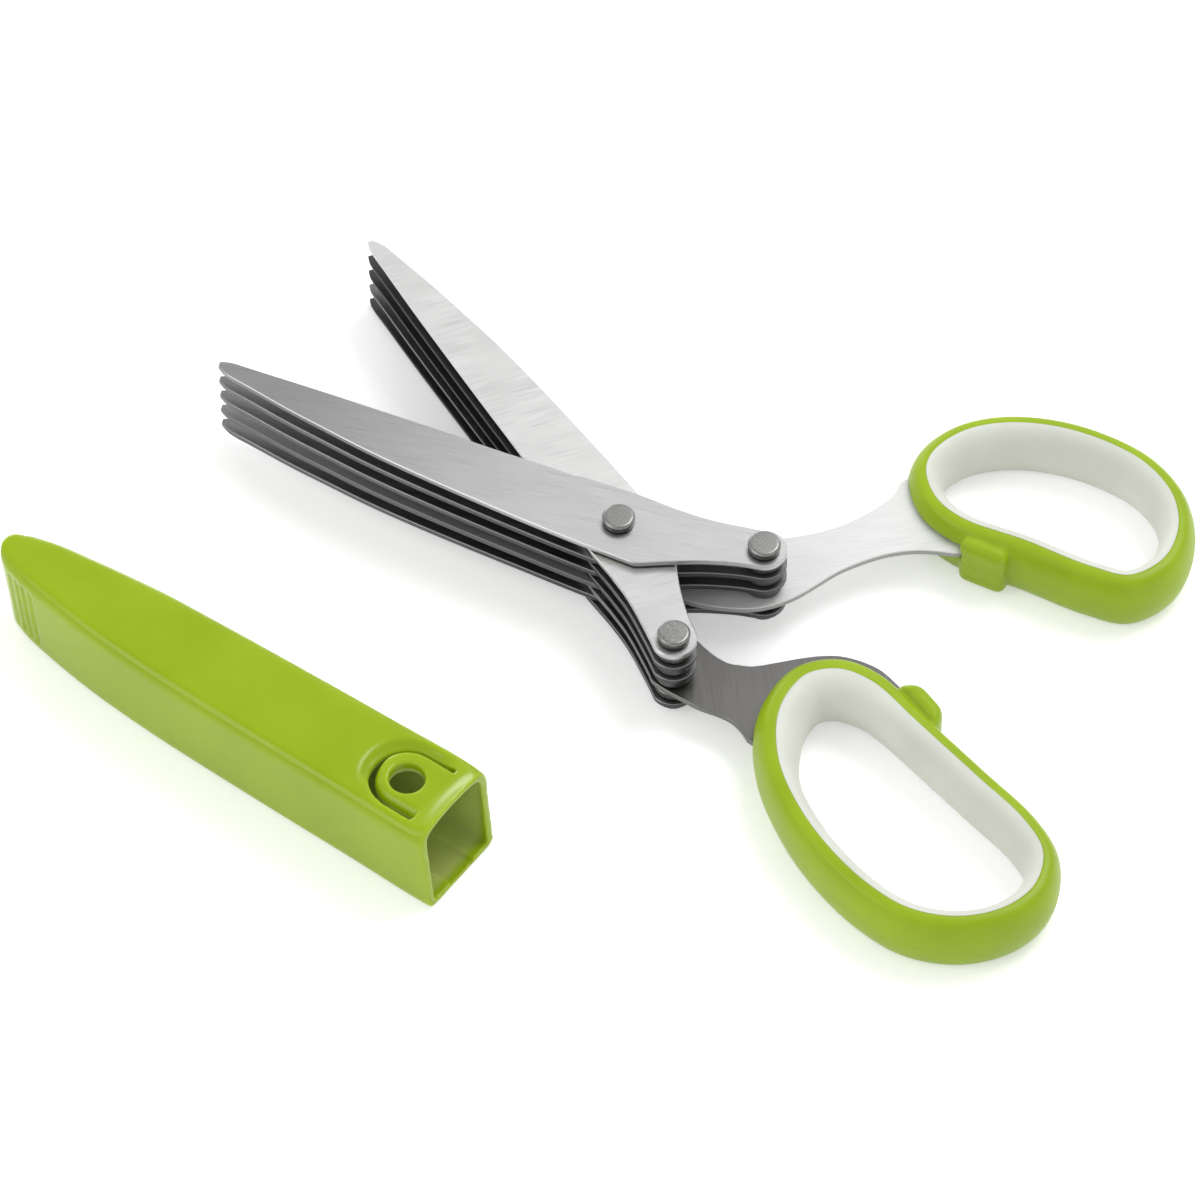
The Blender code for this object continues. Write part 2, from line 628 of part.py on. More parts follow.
def make_half(half, steel, tang_steel, rivet_steel, green, white):
    turn = OPENING / 2 if half == "a" else -OPENING / 2
    carrier = empty("half_" + half, turn)
    side = 1 if half == "a" else -1
    place = (TAIL_REACH, side * TAIL_DROP)
    holes = hole_cutter("holes_" + half, [(0.0, 0.0), place], carrier)
    top_level = 2 * PAIRS - (1 if half == "a" else 2)
    if half == "a":
        lip = loop_lip(
            LOOP_A_START, LOOP_A_LENGTH, LOOP_A_BASE, LOOP_A_WIDTH, LOOP_A_SHARES, LOOP_A_STATIONS,
        )
        corner = (LOOP_A_START, LOOP_A_BASE)
        shell_bulges = [SHELL_BULGE for _ in lip]
        liner_bulges = [LINER_BULGE for _ in lip]
        stop_middle = LOOP_A_START + STOP_A_SHARE * LOOP_A_LENGTH
        stop = stop_block(
            "stop_a", stop_middle, STOP_A_LENGTH, 0.0,
            STOP_A_FACE, LOOP_A_BASE - TANG_LAND, carrier,
        )
    else:
        lip = loop_lip(
            LOOP_B_START, LOOP_B_LENGTH, LOOP_B_BASE, LOOP_B_WIDTH, LOOP_B_SHARES, LOOP_B_STATIONS,
        )
        corner = (LOOP_B_START, LOOP_B_BASE + LOOP_B_WIDTH)
        shell_bulges = [SHELL_BULGE + LOOP_B_NOSE_SHELL * nose_share(here) for here in lip]
        liner_bulges = [LINER_BULGE + LOOP_B_NOSE_BULGE * nose_share(here) for here in lip]
        stop_middle = LOOP_B_START + STOP_B_SHARE * LOOP_B_LENGTH
        stop = stop_block(
            "stop_b", stop_middle, STOP_B_LENGTH, STOP_B_TAPER,
            STOP_B_FACE, LOOP_B_BASE + LOOP_B_WIDTH - TANG_LAND, carrier,
        )
    tang = tang_outline(half, lip, corner)
    for number in range(1, PAIRS + 1):
        level = top_level - 2 * (number - 1)
        outline, finish = short_outline(), steel
        if number == TANG_PLATE:
            outline, finish = tang, tang_steel
            slot = slot_cutter("slot_" + half, half, level, tang, carrier)
        blade("blade_" + half + str(number), half, level, outline, finish, carrier, holes)
        if number < PAIRS:
            high = level_floor(level) - CLEARANCE
            low = level_floor(level - 2) + PLATE_THICKNESS + CLEARANCE
            spacer("spacer_" + half + str(number), place, low, high, rivet_steel, carrier)
    lowest = level_floor(top_level - 2 * (PAIRS - 1)) - CLEARANCE - HEAD_HEIGHT
    highest = level_floor(top_level) + PLATE_THICKNESS + CLEARANCE + HEAD_HEIGHT
    rivet("tail_rivet_" + half, place, lowest, highest, rivet_steel, carrier)
    shell = loop_part("handle_" + half + "_shell", lip, 1, shell_bulges, green, carrier)
    boolean(shell, stop, "UNION")
    boolean(shell, slot, "DIFFERENCE")
    loop_part("handle_" + half + "_liner", lip, -1, liner_bulges, white, carrier)


def nose_share(here):
    """The near loop is thicker at its narrow end: 1 there, and 0 from a share of its length on."""
    return max(0.0, 1 - (here[0] - LOOP_B_START) / (LOOP_B_LENGTH * LOOP_B_NOSE_SHARE))


def main():
    clear_scene()
    steel = material("brushed_blade_steel", "B9B9B7", 0.32, 1.0)
    tang_steel = material("brushed_tang_steel", "A8A8A6", 0.35, 1.0)
    rivet_steel = material("rivet_steel", "8E8E8B", 0.40, 1.0)
    green = material("green_moulded_plastic", "9EBC2A", 0.38, 0.0)
    white = material("white_soft_plastic", "E4E6E2", 0.50, 0.0)
    cover_green = material("green_cover_plastic", "A6C61E", 0.30, 0.0)
    for half in ("a", "b"):
        make_half(half, steel, tang_steel, rivet_steel, green, white)
    whole = level_floor(2 * PAIRS - 1) + PLATE_THICKNESS + CLEARANCE + HEAD_HEIGHT
    rivet("pivot_rivet", (0.0, 0.0), 0.0, whole, rivet_steel, None)
    make_cover(cover_green)
    bpy.context.view_layer.update()


main()
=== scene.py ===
"""Looks of the herb scissors: brushed plates with broken edges, turned rivets, moulded finger loops
with soft liners, and the glossy blade cover, on a plain pale floor.

Metres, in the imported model's frame. Each half of the scissors is drawn closed, with the blades'
midline on the X axis, and is then turned about the pivot, as in the part's source.
"""

from math import cos, hypot, pi, radians, sin, sqrt, tau

import bmesh
import bpy
from mathutils import Matrix, Vector
from mathutils.geometry import tessellate_polygon


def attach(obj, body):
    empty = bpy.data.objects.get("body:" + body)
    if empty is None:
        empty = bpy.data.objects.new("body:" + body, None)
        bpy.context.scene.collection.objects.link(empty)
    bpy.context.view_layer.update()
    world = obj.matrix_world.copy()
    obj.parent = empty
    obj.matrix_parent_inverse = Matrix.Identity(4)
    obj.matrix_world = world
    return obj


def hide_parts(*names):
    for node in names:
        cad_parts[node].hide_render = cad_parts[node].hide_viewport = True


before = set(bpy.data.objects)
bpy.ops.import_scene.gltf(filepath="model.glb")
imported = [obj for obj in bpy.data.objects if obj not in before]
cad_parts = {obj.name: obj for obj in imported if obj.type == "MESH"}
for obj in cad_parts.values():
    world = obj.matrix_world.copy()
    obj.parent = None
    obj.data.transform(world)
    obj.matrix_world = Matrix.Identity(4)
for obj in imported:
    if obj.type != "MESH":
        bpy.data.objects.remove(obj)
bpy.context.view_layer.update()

MM = 0.001

# General
CLEARANCE = 0.3 * MM
OPENING = radians(28.96)
HALF_TURN = {"a": OPENING / 2, "b": -OPENING / 2}
SAME_SPOT = MM / 1000

# Blade stack
PAIRS = 5
TANG_PLATE = 4
TOP_LEVEL = {"a": 9, "b": 8}
PLATE_THICKNESS = 1.5 * MM
PITCH = 1.8 * MM
TIP_SPREAD = 0.28 * MM
SPREAD_LEVEL = 6
BEND_PLACE = 16.0 * MM
PLATE_CHAMFER = 0.14 * MM
DIE_ROLL_WIDTH = 0.28 * MM
DIE_ROLL_HEIGHT = 0.50 * MM
OUTLINE_SPACING = 0.7 * MM

# Blade outline: shares of the reach from pivot to point, and of the spine's distance from the midline
BLADE_REACH = 82.2 * MM
SPINE_OFFSET = 7.4 * MM
GROUND_WIDTH = 1.2 * MM
EDGE_THICKNESS = 0.4 * MM
SPINE_SHARES = (
    (-0.995, 0.1), (-0.97, 0.24), (-0.9, 0.37), (-0.8, 0.54), (-0.7, 0.67),
    (-0.6, 0.79), (-0.5, 0.87), (-0.35, 0.94), (-0.1, 1.0),
)
EDGE_SHARES = (
    (-0.175, 0.8), (-0.238, 0.753), (-0.324, 0.677), (-0.45, 0.59), (-0.6, 0.478),
    (-0.75, 0.357), (-0.9, 0.212), (-0.98, 0.12), (-0.998, 0.03),
)
NOTCH_SHARES = ((0.1, 0.99), (0.005, 0.99), (-0.125, 0.87), (-0.15, 0.8))

# Tail of a short plate, from the pivot to the eye round the tail rivet
TAIL_REACH = 26.3 * MM
TAIL_DROP = 6.15 * MM
EYE_RADIUS = 4.2 * MM
EYE_STEPS = 28
EYE_FROM = radians(-72)
EYE_TO = radians(90)
HEEL_SHARES = (0.247, 0.987)
SPINE_FLANK_SHARES = (
    (0.289, 2.04), (0.411, 1.77), (0.532, 1.53), (0.65, 1.32), (0.779, 1.16), (0.91, 1.05),
)
EDGE_FLANK_SHARES = (
    (0.894, 0.99), (0.76, 1.005), (0.624, 1.03), (0.479, 1.11), (0.331, 1.27),
)

# Rivets and spacers: a head's rim as shares of its width and height, and its dome as shares of the radius
HEAD_RADIUS = 3.0 * MM
HEAD_HEIGHT = 1.5 * MM
HEAD_FOOT = 0.1 * MM
HEAD_RIM = 0.45 * MM
HEAD_RIM_SHARES = ((0.0, 0.0), (0.1, 0.22), (0.72, 0.88), (0.95, 1.0))
HEAD_DOME = 0.03 * MM
HEAD_DOME_SHARES = (0.75, 0.5, 0.2)
HEAD_DOME_FALL = 1.12
SHAFT_RADIUS = 1.9 * MM
SPACER_RADIUS = 3.4 * MM
SPACER_ROUND = 0.12 * MM
ROUND_SIDES = 72

# Finger loops: the lip where shell and liner meet, as shares of a box, and the bulge on either side
LOOP_HEIGHT = 13.0 * MM
SHELL_BULGE = 2.7 * MM
LINER_BULGE = 4.0 * MM
SEAM_INSET = 1.0 * MM
LEAD_REACH = 0.3
LINER_TUCK = 0.3 * MM
LIP_STATIONS = 220
SECTION_POINTS = 26
LOOP_BOX = {
    "a": (41.2 * MM, 49.8 * MM, 32.8 * MM, 29.0 * MM),
    "b": (42.9 * MM, 62.3 * MM, -8.7 * MM, 33.5 * MM),
}
LOOP_SHARES = {
    "a": (
        (0.017, 0.261), (0.005, 0.437), (0.063, 0.665), (0.176, 0.841), (0.345, 0.965),
        (0.54, 1.007), (0.741, 0.959), (0.9, 0.794), (0.984, 0.559), (0.994, 0.282),
        (0.911, 0.055), (0.76, 0.005), (0.5, 0.009), (0.24, -0.005), (0.11, 0.076),
    ),
    "b": (
        (-0.006, 0.61), (0.037, 0.775), (0.131, 0.872), (0.322, 0.907), (0.579, 0.957),
        (0.788, 0.994), (0.909, 0.95), (0.992, 0.779), (1.008, 0.555), (0.96, 0.314),
        (0.855, 0.123), (0.71, 0.029), (0.518, 0.0), (0.349, 0.035), (0.195, 0.124),
        (0.067, 0.287), (0.007, 0.466),
    ),
}
NOSE_LENGTH = 20.6 * MM
NOSE_SWELL = {"shell": {"a": 0.0, "b": 0.22}, "liner": {"a": 0.0, "b": 0.55}}

# Stop blocks on the finger loops: middle, length, taper, face and root
STOP_HEIGHT = 11.0 * MM
STOP_ROUNDING = 1.9 * MM
STOPS = {
    "a": (59.48 * MM, 9.4 * MM, 0.0, 28.2 * MM, 31.6 * MM),
    "b": (59.41 * MM, 7.2 * MM, 2.7 * MM, 27.5 * MM, 23.6 * MM),
}

# Tangs: shares of the way from the tail rivet to a corner of the finger loop's box
TANG_LAND = 1.2 * MM
TANG_SPINE_SHARES = {
    "a": (
        (-0.9, -0.366), (-0.738, -0.355), (-0.564, -0.34), (-0.322, -0.302), (-0.04, -0.238),
        (0.114, -0.186), (0.302, -0.088), (0.463, 0.036), (0.604, 0.193), (0.745, 0.347),
        (0.906, 0.471), (1.081, 0.583), (1.275, 0.677), (1.483, 0.749), (1.711, 0.801),
        (1.872, 0.829),
    ),
    "b": (
        (-0.74, 0.3), (-0.555, 0.27), (-0.37, 0.256), (-0.187, 0.26), (-0.024, 0.27),
        (0.114, 0.289), (0.229, 0.318), (0.307, 0.36), (0.38, 0.402), (0.434, 0.454),
        (0.518, 0.564), (0.602, 0.677), (0.699, 0.784), (0.825, 0.88), (1.0, 0.955),
        (1.223, 1.013), (1.488, 1.032), (1.7, 1.038),
    ),
}
TANG_EDGE_SHARES = {
    "a": (
        (0.819, 1.233), (0.819, 1.105), (0.745, 0.989), (0.604, 0.831), (0.443, 0.7),
        (0.262, 0.591), (0.067, 0.497), (-0.08, 0.437), (-0.45, 0.3), (-0.85, 0.14),
    ),
    "b": (
        (1.169, 0.082), (1.012, 0.092), (0.855, 0.082), (0.687, 0.04), (0.536, -0.011),
        (0.301, -0.066), (0.12, -0.105), (-0.06, -0.128),
    ),
}
TANG_SEAT_SHARES = {"a": (0.13, -0.04), "b": (-0.1, 0.09)}
SEAT_STATIONS = 60

# Cover: each station gives shares of length, half width near and far, height and foot's reach
COVER_LENGTH = 102.0 * MM
COVER_HALF_WIDTH = 9.8 * MM
COVER_HEIGHT = 19.7 * MM
COVER_DRAFT = 0.3 * MM
COVER_WALL = 1.7 * MM
COVER_ROOF = 1.4 * MM
COVER_FLOOR = 1.1 * MM
COVER_NOSE_WALL = 3.0 * MM
COVER_ROOF_CORNER = 2.5 * MM
COVER_FLOOR_CORNER = 1.4 * MM
COVER_FOOT_REACH = 2.4 * MM
COVER_HOLE_RADIUS = 3.25 * MM
COVER_HOLE_INSET = 10.3 * MM
COVER_PLACE = (9.49 * MM, -68.12 * MM)
COVER_TURN = radians(4.65)
COVER_SHARES = (
    (0.0, 0.07, 0.13, 0.955, 0.86), (0.0015, 0.13, 0.2, 0.955, 0.85),
    (0.004, 0.185, 0.262, 0.955, 0.84), (0.011, 0.27, 0.345, 0.956, 0.8),
    (0.03, 0.398, 0.455, 0.958, 0.68), (0.049, 0.46, 0.512, 0.96, 0.54),
    (0.067, 0.515, 0.56, 0.962, 0.4), (0.096, 0.578, 0.618, 0.964, 0.18),
    (0.135, 0.645, 0.665, 0.968, 0.0), (0.175, 0.715, 0.715, 0.972, 0.0),
    (0.214, 0.772, 0.758, 0.976, 0.0), (0.263, 0.83, 0.806, 0.98, 0.0),
    (0.312, 0.872, 0.846, 0.984, 0.0), (0.41, 0.926, 0.884, 0.99, 0.0),
    (0.509, 0.953, 0.918, 0.994, 0.0), (0.607, 0.968, 0.948, 0.997, 0.0),
    (0.705, 0.978, 0.974, 1.0, 0.0), (0.82, 0.985, 1.003, 1.0, 0.0),
    (0.923, 1.003, 1.035, 1.0, 0.0), (0.952, 1.008, 1.032, 1.0, 0.2),
    (0.977, 1.008, 1.018, 1.0, 0.45), (1.0, 1.0, 0.975, 1.0, 0.73),
)
CORNER_STEPS = 8
TOP_STEPS = 44
FINE_STEPS = ((0.012, 0.002), (0.16, 0.0035), (0.78, 0.012), (1.0, 0.0035))
LIP_RISE = 1.7 * MM
LIP_RUN = 4.6 * MM
LIP_CROWN = 0.7
LIP_SWEEP = 1.8

# Cover's sprung tongue, the dish round it, and the channel under it
TONGUE_RADIUS = 5.8 * MM
TONGUE_SLOT = 1.05 * MM
TONGUE_FAR_SLOT = 0.9 * MM
TONGUE_LEG = 6.1 * MM
TONGUE_ROOT = 1.2 * MM
TONGUE_THICKNESS = 3.0 * MM
TONGUE_RIM = 0.35 * MM
TONGUE_NEAR_RIM = 2.3 * MM
TONGUE_EASE = 0.9
TONGUE_STEPS = 48
SLOT_DEPTH = 3.4 * COVER_ROOF
DISH_DEPTH = 1.1 * MM
DISH_REACH = 2.4 * MM
DISH_WALL = 2.0 * MM
DISH_END = (0.3, 0.8)
DISH_SIDE = (1.05, 0.7)
CHANNEL_DEPTH = 0.7 * MM
CHANNEL_LENGTH = 16.5 * MM
CHANNEL_HALF_WIDTH = 3.3 * MM

# Cover's grip grooves
GRIP_COUNT = 4
GRIP_PITCH = 1.9 * MM
GRIP_INSET = 4.2 * MM
GRIP_RADIUS = 0.9 * MM
GRIP_SIDES = 24
GRIP_DEPTH = 0.35 * MM
GRIP_LEAN = 2.0 * MM
GRIP_FOOT = 2.6 * MM
GRIP_TOP = 3.2 * MM

# How far a cutter runs on past what it cuts
PAST_END = MM
PAST_SLOT = 2 * MM
PAST_HOLE = 3 * MM
PAST_MOUTH = 4 * MM

# Moulded skins: grain of the skin, rounds of smoothing, share of the triangles kept
SKIN_VOXEL = 0.34 * MM
SHELL_ROUNDS = 5
COVER_ROUNDS = 6
COVER_THINNING = 0.62

# Steel: where its tone (painted reflection and shade) and its dark sides (painted shade) change along a half,
# and the sizes of its brushing and grain
PAINTED_TONE_SPAN = (-78 * MM, -8 * MM)
SIDE_SPAN = (-55 * MM, 8 * MM)
TAIL_SPAN = (-8 * MM, 28 * MM)
HAIR_SIZE = (9 * MM, 0.22 * MM, 9 * MM)
CLOUD_SIZE = (16 * MM, 7 * MM, 16 * MM)
HAIR_WEIGHT = 0.6
CLOUD_WEIGHT = 0.4
STREAK_SPAN = (0.35, 0.62)
STREAK_SHINE = 0.45
HEADED_GRAIN = 0.28 * MM
# Heights of a face's normal over which undersides and upper faces go in and out of the painted shade
FACING_DOWN = (-0.9, -0.6)
FACING_UP = (0.25, 0.6)

# Plastic: the bend at which the cover's edges get a painted glow, the parting line, and the box of the
# cover's inner faces, which get painted light
PAINTED_GLOW_BEND = (0.512, 0.55)
PARTING_HALF_WIDTH = (0.05 * MM, 0.30 * MM)
PARTING_HEIGHT = 0.12 * MM
COVER_INNER_PAINTED_LIGHT = {
    "X": (-30.5 * MM, 11.2 * MM, 2.0 * MM), "Y": (-8.45 * MM, 8.45 * MM, 0.3 * MM),
    "Z": (0.05 * MM, 18.2 * MM, 0.3 * MM),
}

# Stage
FLOOR_SIZE = 6.0
FLOOR_LEVELS = (-0.02, -0.00005)
FLOOR_GLOW = 0.37
HORIZON_LIGHT = 0.86
CEILING_LIGHT = 0.51
LAMPS = (
    ("key", (0.15, 0.56, 0.97), 0.60, 4.1),
    ("card", (-0.10, 0.72, 1.00), 0.70, 1.4),
    ("front", (-0.34, -0.70, 0.62), 0.62, 1.8),
    ("left", (-0.88, 0.48, 0.34), 0.36, 1.7),
)
CAMERA_PLACE = (0.58448, -0.67854, 1.15884)
CAMERA_AIM = (-0.00900, 0.00520, 0.0)
LENS = 240.0
SENSOR = 36.0
SHIFT = -55 / 1200

# Kinds and settings of nodes, and the part of its range that a noise fills
MATH = "ShaderNodeMath"
RANGE = "ShaderNodeMapRange"
MIX = "ShaderNodeMix"
SPLIT = "ShaderNodeSeparateXYZ"
JOIN = "ShaderNodeCombineXYZ"
SMOOTH = {"interpolation_type": "SMOOTHSTEP"}
COLOUR = {"data_type": "RGBA"}
TINT = {"data_type": "RGBA", "blend_type": "MULTIPLY"}
MULTIPLY = {"operation": "MULTIPLY"}
SUBTRACT = {"operation": "SUBTRACT"}
MAXIMUM = {"operation": "MAXIMUM"}
NOISE = (0.25, 0.75)


# Lines

def plate_level(half, number):
    """A plate's place in the whole stack, counted from the lowest one."""
    return TOP_LEVEL[half] - 2 * (number - 1)


def plate_floor(half, number):
    """Underside of a plate. The lowest plate lies just over the pivot's lower head."""
    return HEAD_HEIGHT + CLEARANCE + plate_level(half, number) * PITCH


def eased(value):
    value = min(1.0, max(0.0, value))
    return value * value * (3 - 2 * value)


def spline(p0, p1, p2, p3, steps):
    """Points from p1 towards p2 on a smooth curve through all four."""
    t1 = sqrt((p1 - p0).length)
    t2 = t1 + sqrt((p2 - p1).length)
    t3 = t2 + sqrt((p3 - p2).length)
    found = []
    for step in range(steps):
        t = t1 + (t2 - t1) * step / steps
        a1 = p0 * ((t1 - t) / t1) + p1 * (t / t1)
        a2 = p1 * ((t2 - t) / (t2 - t1)) + p2 * ((t - t1) / (t2 - t1))
        a3 = p2 * ((t3 - t) / (t3 - t2)) + p3 * ((t - t2) / (t3 - t2))
        b1 = a1 * ((t2 - t) / t2) + a2 * (t / t2)
        b2 = a2 * ((t3 - t) / (t3 - t1)) + a3 * ((t - t1) / (t3 - t1))
        found.append(b1 * ((t2 - t) / (t2 - t1)) + b2 * ((t - t1) / (t2 - t1)))
    return found


def open_curve(points):
    """A smooth line through the points, from the first to the last."""
    ends = [Vector(p) for p in points]
    ends = [ends[0] * 2 - ends[1]] + ends + [ends[-1] * 2 - ends[-2]]
    line = []
    for index in range(1, len(ends) - 2):
        steps = max(1, round((ends[index + 1] - ends[index]).length / OUTLINE_SPACING))
        line += spline(*ends[index - 1:index + 3], steps)
    return [tuple(p) for p in line] + [tuple(ends[-2])]


def closed_curve(points, stations):
    """Evenly spaced points on a smooth closed curve through the given ones, anticlockwise."""
    count = len(points)
    fine = []
    for index in range(count):
        fine += spline(*(Vector(points[(index + shift) % count]) for shift in (-1, 0, 1, 2)), stations)
    lengths = [(fine[(i + 1) % len(fine)] - fine[i]).length for i in range(len(fine))]
    spacing = sum(lengths) / stations
    even, travelled, index = [], 0.0, 0
    for station in range(stations):
        while travelled + lengths[index] < station * spacing:
            travelled += lengths[index]
            index += 1
        part = (station * spacing - travelled) / lengths[index]
        even.append(tuple(fine[index].lerp(fine[(index + 1) % len(fine)], part)))
    turn = sum(a[0] * b[1] - b[0] * a[1] for a, b in zip(even, even[1:] + even[:1]))
    return even if turn > 0 else even[::-1]


def grown(outline, amount):
    """An anticlockwise outline moved out by the amount, with its corners mitred."""
    moved = []
    for index, here in enumerate(outline):
        before, after = outline[index - 1], outline[(index + 1) % len(outline)]
        first = Vector((here[0] - before[0], here[1] - before[1])).normalized()
        second = Vector((after[0] - here[0], after[1] - here[1])).normalized()
        half = (first + second).normalized()
        reach = amount / max(half.dot(second), 0.5)
        moved.append((here[0] + half.y * reach, here[1] - half.x * reach))
    return moved


def circle(radius, place=(0.0, 0.0), sides=ROUND_SIDES):
    turns = [tau * step / sides for step in range(sides)]
    return [(place[0] + radius * cos(turn), place[1] + radius * sin(turn)) for turn in turns]


def rectangle(low, high):
    return [low, (high[0], low[1]), high, (low[0], high[1])]


def thinned(points):
    """Drops points that lie on the one before them."""
    kept = []
    for point in points:
        if not kept or hypot(point[0] - kept[-1][0], point[1] - kept[-1][1]) > PLATE_CHAMFER / 2:
            kept.append(point)
    return kept


# Meshes

def in_scene(name, data):
    made = bpy.data.objects.new(name, data)
    bpy.context.scene.collection.objects.link(made)
    return made


def new_object(name, shape):
    mesh = bpy.data.meshes.new(name)
    shape.to_mesh(mesh)
    shape.free()
    return in_scene(name, mesh)


def shaded(made, angle):
    made.data.shade_smooth()
    made.data.set_sharp_from_angle(angle=radians(angle))
    return made


def dressed(made, finish):
    made.data.materials.clear()
    made.data.materials.append(finish)
    return made


def outward(shape):
    bmesh.ops.recalc_face_normals(shape, faces=shape.faces)
    return shape


def walled(shape, rings):
    """Joins rings of equally many corners with quads, each ring to the next."""
    for ring, after in zip(rings, rings[1:]):
        for index in range(len(ring)):
            side = (index + 1) % len(ring)
            shape.faces.new((ring[index], ring[side], after[side], after[index]))


def swept(sections, closed=False):
    """A surface through sections of equally many points. An open sweep gets flat ends."""
    shape = bmesh.new()
    rings = [[shape.verts.new(point) for point in section] for section in sections]
    walled(shape, rings + rings[:1] if closed else rings)
    if not closed:
        shape.faces.new(rings[0])
        shape.faces.new(rings[-1])
    return outward(shape)


def prism(plan, low, high):
    return swept([[(x, y, z) for x, y in plan] for z in (low, high)])


def evaluated(made):
    """The object's mesh with its modifiers applied and removed."""
    graph = bpy.context.evaluated_depsgraph_get()
    mesh = bpy.data.meshes.new_from_object(made.evaluated_get(graph))
    old = made.data
    made.modifiers.clear()
    made.data = mesh
    bpy.data.meshes.remove(old)
    return made


def combined(made, others):
    """Cuts each other object out of the first, or joins it on, one after another."""
    for other, operation in others:
        added = made.modifiers.new("cut", "BOOLEAN")
        added.operation = operation
        added.solver = "EXACT"
        added.object = other
    evaluated(made)
    for other, _ in others:
        bpy.data.objects.remove(other, do_unlink=True)


def moulded(made, rounds, thinning=1.0):
    """Melts a piece into one skin with softly rounded edges, as from a mould, and thins its triangles."""
    remesh = made.modifiers.new("skin", "REMESH")
    remesh.mode = "VOXEL"
    remesh.voxel_size = SKIN_VOXEL
    smooth = made.modifiers.new("soft", "SMOOTH")
    smooth.factor = 0.5
    smooth.iterations = rounds
    if thinning < 1.0:
        thin = made.modifiers.new("thin", "DECIMATE")
        thin.ratio = thinning
    evaluated(made)
    made.data.shade_smooth()


def turn_half(made, half):
    made.data.transform(Matrix.Rotation(HALF_TURN[half], 4, "Z"))
    return made


# Node trees

def add(tree, kind, inputs=None, settings=None):
    """Adds one node with its settings. Each input gets a value, or a link from a node or its output."""
    node = tree.nodes.new(kind)
    for key, value in (settings or {}).items():
        setattr(node, key, value)
    for key, value in (inputs or {}).items():
        if isinstance(value, bpy.types.Node):
            value = value.outputs[0]
        if isinstance(value, bpy.types.NodeSocket):
            tree.links.new(value, node.inputs[key])
        else:
            node.inputs[key].default_value = value
    return node


def span(value, low, high, start=0.0, end=1.0):
    """Inputs of a range: it leads a value from low and high to start and end."""
    return {"Value": value, "From Min": low, "From Max": high, "To Min": start, "To Max": end}


def linear(colour):
    """Linear red, green, blue and alpha of an sRGB colour in hexadecimal."""
    channels = [int(colour[place:place + 2], 16) / 255 for place in (0, 2, 4)]
    return (*[c / 12.92 if c <= 0.04045 else ((c + 0.055) / 1.055) ** 2.4 for c in channels], 1.0)


def geometry_tree(name, sizes):
    """An empty geometry tree with named sizes, and its sizes' sockets."""
    tree = bpy.data.node_groups.new(name, "GeometryNodeTree")
    for size, kind in {"Geometry": "Geometry", **sizes, "Finish": "Material"}.items():
        tree.interface.new_socket(size, in_out="INPUT", socket_type="NodeSocket" + kind)
    tree.interface.new_socket("Geometry", in_out="OUTPUT", socket_type="NodeSocketGeometry")
    return tree, add(tree, "NodeGroupInput").outputs


def ended(tree, size, shape):
    """Ends a geometry tree: all instances are made real and get the finish."""
    real = add(tree, "GeometryNodeRealizeInstances", {"Geometry": shape})
    finish = add(tree, "GeometryNodeSetMaterial", {"Geometry": real, "Material": size["Finish"]})
    add(tree, "NodeGroupOutput", {0: finish})
    return tree


def grown_by(tree, made, sizes):
    """Runs a geometry tree on an object and keeps the result as its plain mesh."""
    added = made.modifiers.new(tree.name, "NODES")
    added.node_group = tree
    for item in tree.interface.items_tree:
        if item.in_out == "INPUT" and item.name in sizes:
            added[item.identifier] = sizes[item.name]
    return evaluated(made)


def oval_sweep_tree():
    """Sweeps half an oval along a closed lip line. The oval swells where the line's swell says so, and the
    lead draws its flat side out past the line, by a share of the bulge."""
    tree, size = geometry_tree("oval_sweep", {
        "Bulge": "Float", "Height": "Float", "Gap": "Float", "Lead": "Float", "Points": "Int",
    })
    line = add(tree, "GeometryNodeMeshToCurve", {"Mesh": size["Geometry"]})
    upright = add(tree, "GeometryNodeSetCurveNormal", {"Curve": line}, {"mode": "Z_UP"})
    swell = add(tree, "GeometryNodeInputNamedAttribute", {"Name": "swell"})
    arc = add(tree, "GeometryNodeCurveArc", {
        "Radius": 1.0, "Start Angle": -pi / 2, "Sweep Angle": pi, "Resolution": size["Points"],
    })
    shut = add(tree, "GeometryNodeSetSplineCyclic", {"Geometry": arc, "Cyclic": True})
    place = add(tree, "GeometryNodeInputPosition")
    drawn = add(tree, SPLIT, {"Vector": place}).outputs
    near = add(tree, RANGE, span(drawn["X"], 0.0, LEAD_REACH, 1.0, 0.0))
    lead = add(tree, MATH, {0: size["Lead"], 1: near}, MULTIPLY)
    back = add(tree, MATH, {0: drawn["X"], 1: lead}, SUBTRACT)
    led = add(tree, JOIN, {"X": back, "Y": drawn["Y"]})
    oval = add(tree, "GeometryNodeSetPosition", {"Geometry": shut, "Position": led})
    half_height = add(tree, MATH, {0: size["Height"], 1: 0.5}, MULTIPLY)
    scale = add(tree, JOIN, {"X": size["Bulge"], "Y": half_height, "Z": 1.0})
    move = add(tree, JOIN, {"X": size["Gap"]})
    section = add(tree, "GeometryNodeTransform", {"Geometry": oval, "Scale": scale, "Translation": move})
    sweep = add(tree, "GeometryNodeCurveToMesh", {"Curve": upright, "Profile Curve": section, "Scale": swell})
    spot = add(tree, SPLIT, {"Vector": place}).outputs
    level = add(tree, MATH, {0: spot["Z"], 1: swell}, {"operation": "DIVIDE"})
    raised = add(tree, MATH, {0: level, 1: half_height}, {"operation": "ADD"})
    flat = add(tree, JOIN, {"X": spot["X"], "Y": spot["Y"], "Z": raised})
    return ended(tree, size, add(tree, "GeometryNodeSetPosition", {"Geometry": sweep, "Position": flat}))


